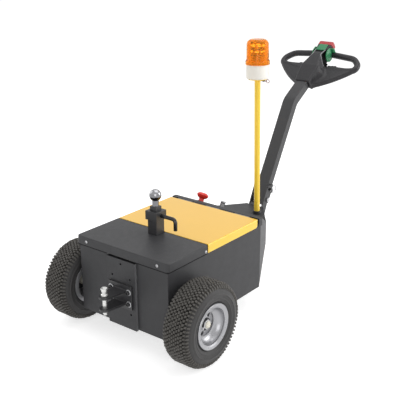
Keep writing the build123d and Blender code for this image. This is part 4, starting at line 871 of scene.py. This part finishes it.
COVER_SCREW = (6.2, 3.6)
COVER_SCREWS = [((FRONT_X, -180, 386), (1, 0, 0)), ((FRONT_X, 180, 386), (1, 0, 0))]
COVER_SCREWS += [((-129, side * BODY_HALF, 379), (0, side, 0)) for side in (-1, 1)]
screws = bmesh.new()
for spot, facing in COVER_SCREWS:
    button_screw(screws, Vector(spot), facing, *COVER_SCREW)
piece("cover_screws", screws, "chassis", MATERIALS["bolt_steel"])

# Painted shade: the dark strip stands for the shadow that the cover's lip casts on the panel.
SHADE_STRIP_INSET = 1.25
SHADE_STRIP_CORNER = 6.0
SHADE_STRIP_CORNER_CUT = 2.6
SHADE_STRIP_START_Y = 74.0
SHADE_STRIP_END_X = -136.0
SHADE_STRIP_LINE = [(FRONT_X - SHADE_STRIP_INSET, SHADE_STRIP_START_Y), (FRONT_X - SHADE_STRIP_INSET, BODY_HALF - SHADE_STRIP_CORNER),
             (FRONT_X - SHADE_STRIP_CORNER_CUT, BODY_HALF - SHADE_STRIP_CORNER_CUT),
             (FRONT_X - SHADE_STRIP_CORNER, BODY_HALF - SHADE_STRIP_INSET), (SHADE_STRIP_END_X, BODY_HALF - SHADE_STRIP_INSET)]
SHADE_STRIP_Z = 369.0
SHADE_STRIP_RADIUS = 2.2
shade_strip = bmesh.new()
for side in (-1, 1):
    tube(shade_strip, [Vector((ahead, side * across, SHADE_STRIP_Z)) for ahead, across in SHADE_STRIP_LINE], SHADE_STRIP_RADIUS, steps=12)
piece("cover_shade_strip", shade_strip, "chassis", SHADE_BLACK)


# Clevis: cap screws on thick washers, weld beads at its plates and under the post's collar

CLEVIS_BOLT_ACROSS = 45
CLEVIS_BOLT_RISE = 24
CLEVIS_WASHER = (12.0, 8.0, 4.0)
CLEVIS_BOLT = (7.6, 12.0)
rings = bmesh.new()
caps = bmesh.new()
for across in (-CLEVIS_BOLT_ACROSS, CLEVIS_BOLT_ACROSS):
    for rise in (-CLEVIS_BOLT_RISE, CLEVIS_BOLT_RISE):
        spot = Vector((CLEVIS_FACE_X, across, CLEVIS_Z + rise))
        washer(rings, spot, (1, 0, 0), *CLEVIS_WASHER)
        socket_bolt(caps, spot, (1, 0, 0), *CLEVIS_BOLT)
piece("clevis_washers", rings, "chassis", MATERIALS["bolt_steel"])
piece("clevis_bolts", caps, "chassis", MATERIALS["hitch_black"])

CLEVIS_ROOT_HALF = 31.0
CLEVIS_WELD_STEPS = 24
CLEVIS_WELD_RADIUS = 2.4
WELD_RIPPLE = 0.5
POST_HALF = 22.2
POST_WELD_STEPS = 10
POST_WELD_RADIUS = 2.6
POST_CORNERS = ((1, 1), (-1, 1), (-1, -1), (1, -1))


def clevis_weld(mesh, rise):
    """Rippled bead across the clevis plate's root at a height."""
    points = []
    for step in range(CLEVIS_WELD_STEPS + 1):
        across = -CLEVIS_ROOT_HALF + step * 2 * CLEVIS_ROOT_HALF / CLEVIS_WELD_STEPS
        points.append(Vector((CLEVIS_FACE_X + WELD_RIPPLE * (step % 2), across, rise)))
    tube(mesh, points, CLEVIS_WELD_RADIUS, steps=8)


def post_weld(mesh):
    """Bead round the post under its collar."""
    corners = []
    for ahead, across in POST_CORNERS:
        corners.append(Vector((POST_X + POST_HALF * ahead, POST_HALF * across, COLLAR_LOW)))
    loop = []
    for first, second in zip(corners, corners[1:] + corners[:1]):
        loop += [first.lerp(second, step / POST_WELD_STEPS) for step in range(POST_WELD_STEPS)]
    tube(mesh, loop, POST_WELD_RADIUS, steps=8, closed=True)


welds = bmesh.new()
for side in (-1, 1):
    for edge in (CLEVIS_GAP / 2, CLEVIS_GAP / 2 + CLEVIS_PLATE):
        clevis_weld(welds, CLEVIS_Z + side * edge)
post_weld(welds)
piece("weld_beads", welds, "chassis", MATERIALS["hitch_black"], crease=WELD_CREASE)


# Drop pin with a tapered foot, a collar and a cone head that is hollow on top

PIN_PROFILE = [(0.0, -49.0), (5.0, -49.0), (8.5, -42.2), (8.5, 29.0), (12.6, 29.2), (13.0, 30.0),
               (13.0, 36.5), (12.4, 37.4), (9.2, 38.6), (8.8, 40.0), (9.4, 44.0), (13.2, 56.6), (13.4, 58.3),
               (13.4, 60.0), (12.6, 61.0), (10.6, 61.0), (9.4, 59.4), (6.0, 55.5), (0.0, 54.8)]
pin = bmesh.new()
lathe(pin, PIN_PROFILE, DROP_PIN, (0, 0, 1), steps=40)
turned_pin = piece("drop_pin_turned", pin, "chassis", PIN_STEEL)
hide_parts("drop_pin")


# Switches on the sloped dash

DASH_UP = Vector((-DASH_SLOPE, 0, 1)).normalized()


def dash_spot(along, across):
    """Place on the sloped dash."""
    return Vector((DASH_START_X - along, across, BODY_TOP - along * DASH_SLOPE))


KEY_PLACE = dash_spot(80.0, -40.0)
KEY_HEIGHT = 34.0
KEY_NUT = [(10.6, 0.0), (16.0, 0.0), (16.0, 5.0), (14.4, 6.5), (10.6, 6.5)]
KEY_BEZEL = [(10.4, -6.0), (11.6, -5.0), (11.9, -0.8), (10.8, 1.2), (8.0, 1.5), (7.0, 0.4), (0.0, 0.4)]
KEY_RINGS = 3
KEY_RING_START = 10.0
KEY_RING_PITCH = 4.5
KEY_RING = (11.2, 10.2, 2.0)
KEY_SLOT_RISE = 0.6
KEY_SLOT_SIZE = (2.0, 9.0, 1.6)
KEY_SLOT_ROUND = 0.3
STOP_PLACE = dash_spot(36.0, -120.0)
STOP_GASKET = (18.5, 13.0, 3.5)
nut = bmesh.new()
lathe(nut, KEY_NUT, KEY_PLACE, DASH_UP, steps=6, closed=True)
piece("key_nut", nut, "chassis", MATERIALS["bolt_steel"], crease=HEX_CREASE)
bezel = bmesh.new()
lathe(bezel, [(radius, KEY_HEIGHT + rise) for radius, rise in KEY_BEZEL], KEY_PLACE, DASH_UP, steps=40)
for index in range(KEY_RINGS):
    washer(bezel, KEY_PLACE + DASH_UP * (KEY_RING_START + KEY_RING_PITCH * index), DASH_UP, *KEY_RING)
piece("key_bezel", bezel, "chassis", MATERIALS["bolt_steel"])
# Painted shade: a near-black bar on the key face stands for the shade inside the key slot.
slot_bar = bmesh.new()
slot_place = KEY_PLACE + DASH_UP * (KEY_HEIGHT + KEY_SLOT_RISE)
block(slot_bar, slot_place, (DASH_UP.cross(HEAD_U), HEAD_U, DASH_UP), KEY_SLOT_SIZE, KEY_SLOT_ROUND)
piece("key_slot", slot_bar, "chassis", RUBBER_DARK)
gasket = bmesh.new()
washer(gasket, STOP_PLACE, DASH_UP, *STOP_GASKET)
piece("stop_gasket", gasket, "chassis", RUBBER_DARK)


# Beacon: dark dashes behind the lens, faintly glowing pale dashes there that paint its glints, catches on its
# flange, bolts under its plate

LAMP_RADIUS = 27.0
LAMP_DASHES = 7
DASH_STEPS = 8
WAVES_ROUND = 3
CAGE_LEVELS = (698.0, 722.0, 728.0, 746.0, 752.0)
CAGE_TURN = 0.37
CAGE_LENGTH, CAGE_UNEVEN, CAGE_BEAT = 0.5, 0.28, 2.4
CAGE_WAVE = 1.5
CAGE_WIRE = 2.1
GLINT_LEVELS = (713.0, 736.5)
GLINT_START, GLINT_TURN = 0.2, 0.45
GLINT_LENGTH, GLINT_UNEVEN, GLINT_BEAT = 0.5, 0.2, 1.7
GLINT_WIRE = 2.6
CATCHES = 8
CATCH_TURN = 0.3
CATCH_RISE = 1.0
CATCH_INSET = 2.4
CATCH_SIZE = (3.4, 9.0, 4.0)
CATCH_ROUND = 0.8
PLATE_BOLT_ACROSS = 34.0
PLATE_BOLT_AHEAD = 6.0
PLATE_BOLT = (5.0, 6.0, 6.4)


def pole_point(forward, across, rise):
    """Point on the leaning pole's own axes."""
    return POLE_FOOT + Vector((forward, 0, 0)) + POLE_SIDE * across + POLE_UP * rise


def lamp_dash(mesh, start, length, rise, wave, wire):
    """Short bar of a broken ring round the lamp, with start and length as shares of the dashes' spacing."""
    first = 2 * pi * start / LAMP_DASHES
    sweep = 2 * pi * length / LAMP_DASHES
    points = []
    for step in range(DASH_STEPS + 1):
        turn = first + sweep * step / DASH_STEPS
        height = rise + wave * sin(WAVES_ROUND * turn)
        points.append(pole_point(LAMP_RADIUS * cos(turn), LAMP_RADIUS * sin(turn), height))
    tube(mesh, points, wire, steps=8)


cage = bmesh.new()
for level, rise in enumerate(CAGE_LEVELS):
    for dash in range(LAMP_DASHES):
        length = CAGE_LENGTH + CAGE_UNEVEN * sin(CAGE_BEAT * dash + level)
        lamp_dash(cage, dash + CAGE_TURN * level, length, rise, CAGE_WAVE, CAGE_WIRE)
piece("lamp_cage", cage, "chassis", CAGE_BROWN)
# Painted glints: dashes of a faintly glowing pale material behind the lens, standing in for the bright reflections
# on it.
glint_dashes = bmesh.new()
for level, rise in enumerate(GLINT_LEVELS):
    for dash in range(LAMP_DASHES):
        length = GLINT_LENGTH + GLINT_UNEVEN * cos(GLINT_BEAT * dash + level)
        lamp_dash(glint_dashes, dash + GLINT_START + GLINT_TURN * level, length, rise, 0.0, GLINT_WIRE)
piece("painted_glints", glint_dashes, "chassis", GLINT_GLOW)
catches = bmesh.new()
flange_top = POLE_FOOT + POLE_UP * (LENS_BOTTOM + LENS_FLANGE + CATCH_RISE)
for step in range(CATCHES):
    turn = 2 * pi * (step + CATCH_TURN) / CATCHES
    out = Vector((cos(turn), 0, 0)) + POLE_SIDE * sin(turn)
    middle = flange_top + out * (LENS_FLANGE_RADIUS - CATCH_INSET)
    block(catches, middle, (out, POLE_UP.cross(out), POLE_UP), CATCH_SIZE, CATCH_ROUND)
piece("lens_catches", catches, "chassis", MATERIALS["beacon_amber"])
plate_bolts = bmesh.new()
for across in (-PLATE_BOLT_ACROSS, PLATE_BOLT_ACROSS):
    under = pole_point(PLATE_BOLT_AHEAD, across, POLE_LENGTH - POLE_PLATE)
    hex_bolt(plate_bolts, under, -POLE_UP, *PLATE_BOLT)
piece("beacon_bolts", plate_bolts, "chassis", MATERIALS["hitch_black"], crease=HEX_CREASE)


# Mast bracket and castor bolts

EAR_BOLT_X, EAR_BOLT_Z = -842.0, 403.0
EAR_BOLT = (4.2, 4.5, 5.0)
CASTOR_BOLT_AHEAD = 42.0
CASTOR_BOLT_ACROSS = 33.0
CASTOR_BOLT = (5.6, 5.5, 6.6)
ears = bmesh.new()
for side in (-1, 1):
    hex_bolt(ears, Vector((EAR_BOLT_X, side * BRACKET_OUTER, EAR_BOLT_Z)), (0, side, 0), *EAR_BOLT)
piece("bracket_bolts", ears, "chassis", MATERIALS["hitch_black"], crease=HEX_CREASE)
castor_bolts = bmesh.new()
for ahead in (-CASTOR_BOLT_AHEAD, CASTOR_BOLT_AHEAD):
    for across in (-CASTOR_BOLT_ACROSS, CASTOR_BOLT_ACROSS):
        under = Vector((CASTOR_X + ahead, across, CASTOR_PLATE_UNDER))
        hex_bolt(castor_bolts, under, (0, 0, -1), *CASTOR_BOLT)
piece("castor_bolts", castor_bolts, "chassis", MATERIALS["bolt_steel"], crease=HEX_CREASE)


# Rocker switches inside the grips

ROCKER_ACROSS = 88.0
ROCKER_RISE = 2.0
ROCKER_CASE_ALONG = -1.0
ROCKER_CASE = (26.0, 8.0, 13.0)
ROCKER_CASE_ROUND = 1.6
ROCKER_KEY_ALONG = 2.6
ROCKER_KEY = (19.0, 5.0, 9.0)
ROCKER_KEY_ROUND = 1.4
ROCKER_TILT = 14.0
for side_name, side in SIDES:
    rocker = bmesh.new()
    case_place = head_point(side * ROCKER_ACROSS, ROCKER_CASE_ALONG, ROCKER_RISE)
    block(rocker, case_place, HEAD_AXES, ROCKER_CASE, ROCKER_CASE_ROUND)
    tilt = Matrix.Rotation(radians(ROCKER_TILT * side), 3, HEAD_H)
    key_place = head_point(side * ROCKER_ACROSS, ROCKER_KEY_ALONG, ROCKER_RISE)
    block(rocker, key_place, (tilt @ HEAD_U, tilt @ HEAD_V, HEAD_H), ROCKER_KEY, ROCKER_KEY_ROUND)
    piece(f"rocker_{side_name}", rocker, "mast", MATERIALS["switch_black"])


# Camera at the photograph's viewing angle

CAMERA_PLACE = (1938.829, 1842.710, 1517.526)
CAMERA_AZIMUTH = 37.756268
CAMERA_ELEVATION = 20.172987
CAMERA_LENS = 66.004
CAMERA_SENSOR = 36.0
CAMERA_REACH = 200.0
camera_data = bpy.data.cameras.new("photo_camera")
camera_data.sensor_width = CAMERA_SENSOR
camera_data.lens = CAMERA_LENS
camera_data.clip_end = CAMERA_REACH
camera = placed("photo_camera", camera_data)
camera.location = TO_FRAME @ Vector(CAMERA_PLACE)
camera.rotation_euler = (radians(90 - CAMERA_ELEVATION), 0, radians(90 + CAMERA_AZIMUTH))
SCENE.camera = camera


# Soft lamps, in metres: place, the point they are turned to, size and watts

def softbox(name, place, target, size, watts):
    """Large soft lamp turned to a point."""
    data = bpy.data.lights.new(name, "AREA")
    data.shape = "SQUARE"
    data.size = size
    data.energy = watts
    lamp = placed(name, data)
    lamp.location = place
    lamp.rotation_euler = (Vector(target) - Vector(place)).to_track_quat("-Z", "Y").to_euler()


softbox("overhead", (-0.6, 0.4, 4.2), (0, 0, 0.3), 3.4, 64.0)
softbox("right_side", (-2.8, 3.4, 1.9), (-0.2, 0, 0.5), 2.6, 92.0)
softbox("front_fill", (3.4, 2.6, 1.6), (0, 0, 0.4), 2.6, 40.0)
softbox("left_fill", (1.0, -3.2, 2.2), (-0.4, 0, 0.6), 2.2, 26.0)


# White surroundings and a pale floor that keeps the shadow

WHITE = (1, 1, 1, 1)
AMBIENT = 0.5
FLOOR_RADIUS = 30.0
FLOOR_SEGMENTS = 64
FLOOR_COLOUR = (0.8, 0.8, 0.8, 1)
FLOOR_GLOW = 0.64


def background_share(tree):
    """Share that is 1 for rays that see the surroundings straight, in a reflection or through glass."""
    path = tree.nodes.new("ShaderNodeLightPath").outputs
    seen = maths(tree, "MAXIMUM", path["Is Camera Ray"], path["Is Glossy Ray"])
    return maths(tree, "MAXIMUM", seen, path["Is Transmission Ray"])


def studio_world():
    """White surroundings that light the object only softly."""
    world = bpy.data.worlds.new("studio")
    SCENE.world = world
    world.use_nodes = True
    sky = world.node_tree
    level = spread(sky, background_share(sky), To_Min=AMBIENT, To_Max=1.0)
    sky.nodes["Background"].inputs["Color"].default_value = WHITE
    sky.links.new(level, sky.nodes["Background"].inputs["Strength"])


def pale_floor():
    """Matt floor that glows a little where it is seen."""
    look = bpy.data.materials.new("pale_floor")
    look.use_nodes = True
    tree = look.node_tree
    tree.nodes.remove(tree.nodes["Principled BSDF"])
    matt = put(tree, "ShaderNodeBsdfDiffuse", {"Color": FLOOR_COLOUR}).outputs[0]
    strength = maths(tree, "MULTIPLY", background_share(tree), FLOOR_GLOW)
    glow = put(tree, "ShaderNodeEmission", {"Color": WHITE, "Strength": strength}).outputs[0]
    both = put(tree, "ShaderNodeAddShader", {0: matt, 1: glow}).outputs[0]
    tree.links.new(both, tree.nodes["Material Output"].inputs["Surface"])
    return look


studio_world()
floor_mesh = bmesh.new()
bmesh.ops.create_circle(floor_mesh, cap_ends=True, segments=FLOOR_SEGMENTS, radius=FLOOR_RADIUS)
floor_data = bpy.data.meshes.new("floor")
floor_mesh.to_mesh(floor_data)
floor_mesh.free()
floor_data.materials.append(pale_floor())
floor = placed("floor", floor_data)

SCENE.view_settings.view_transform = "Standard"
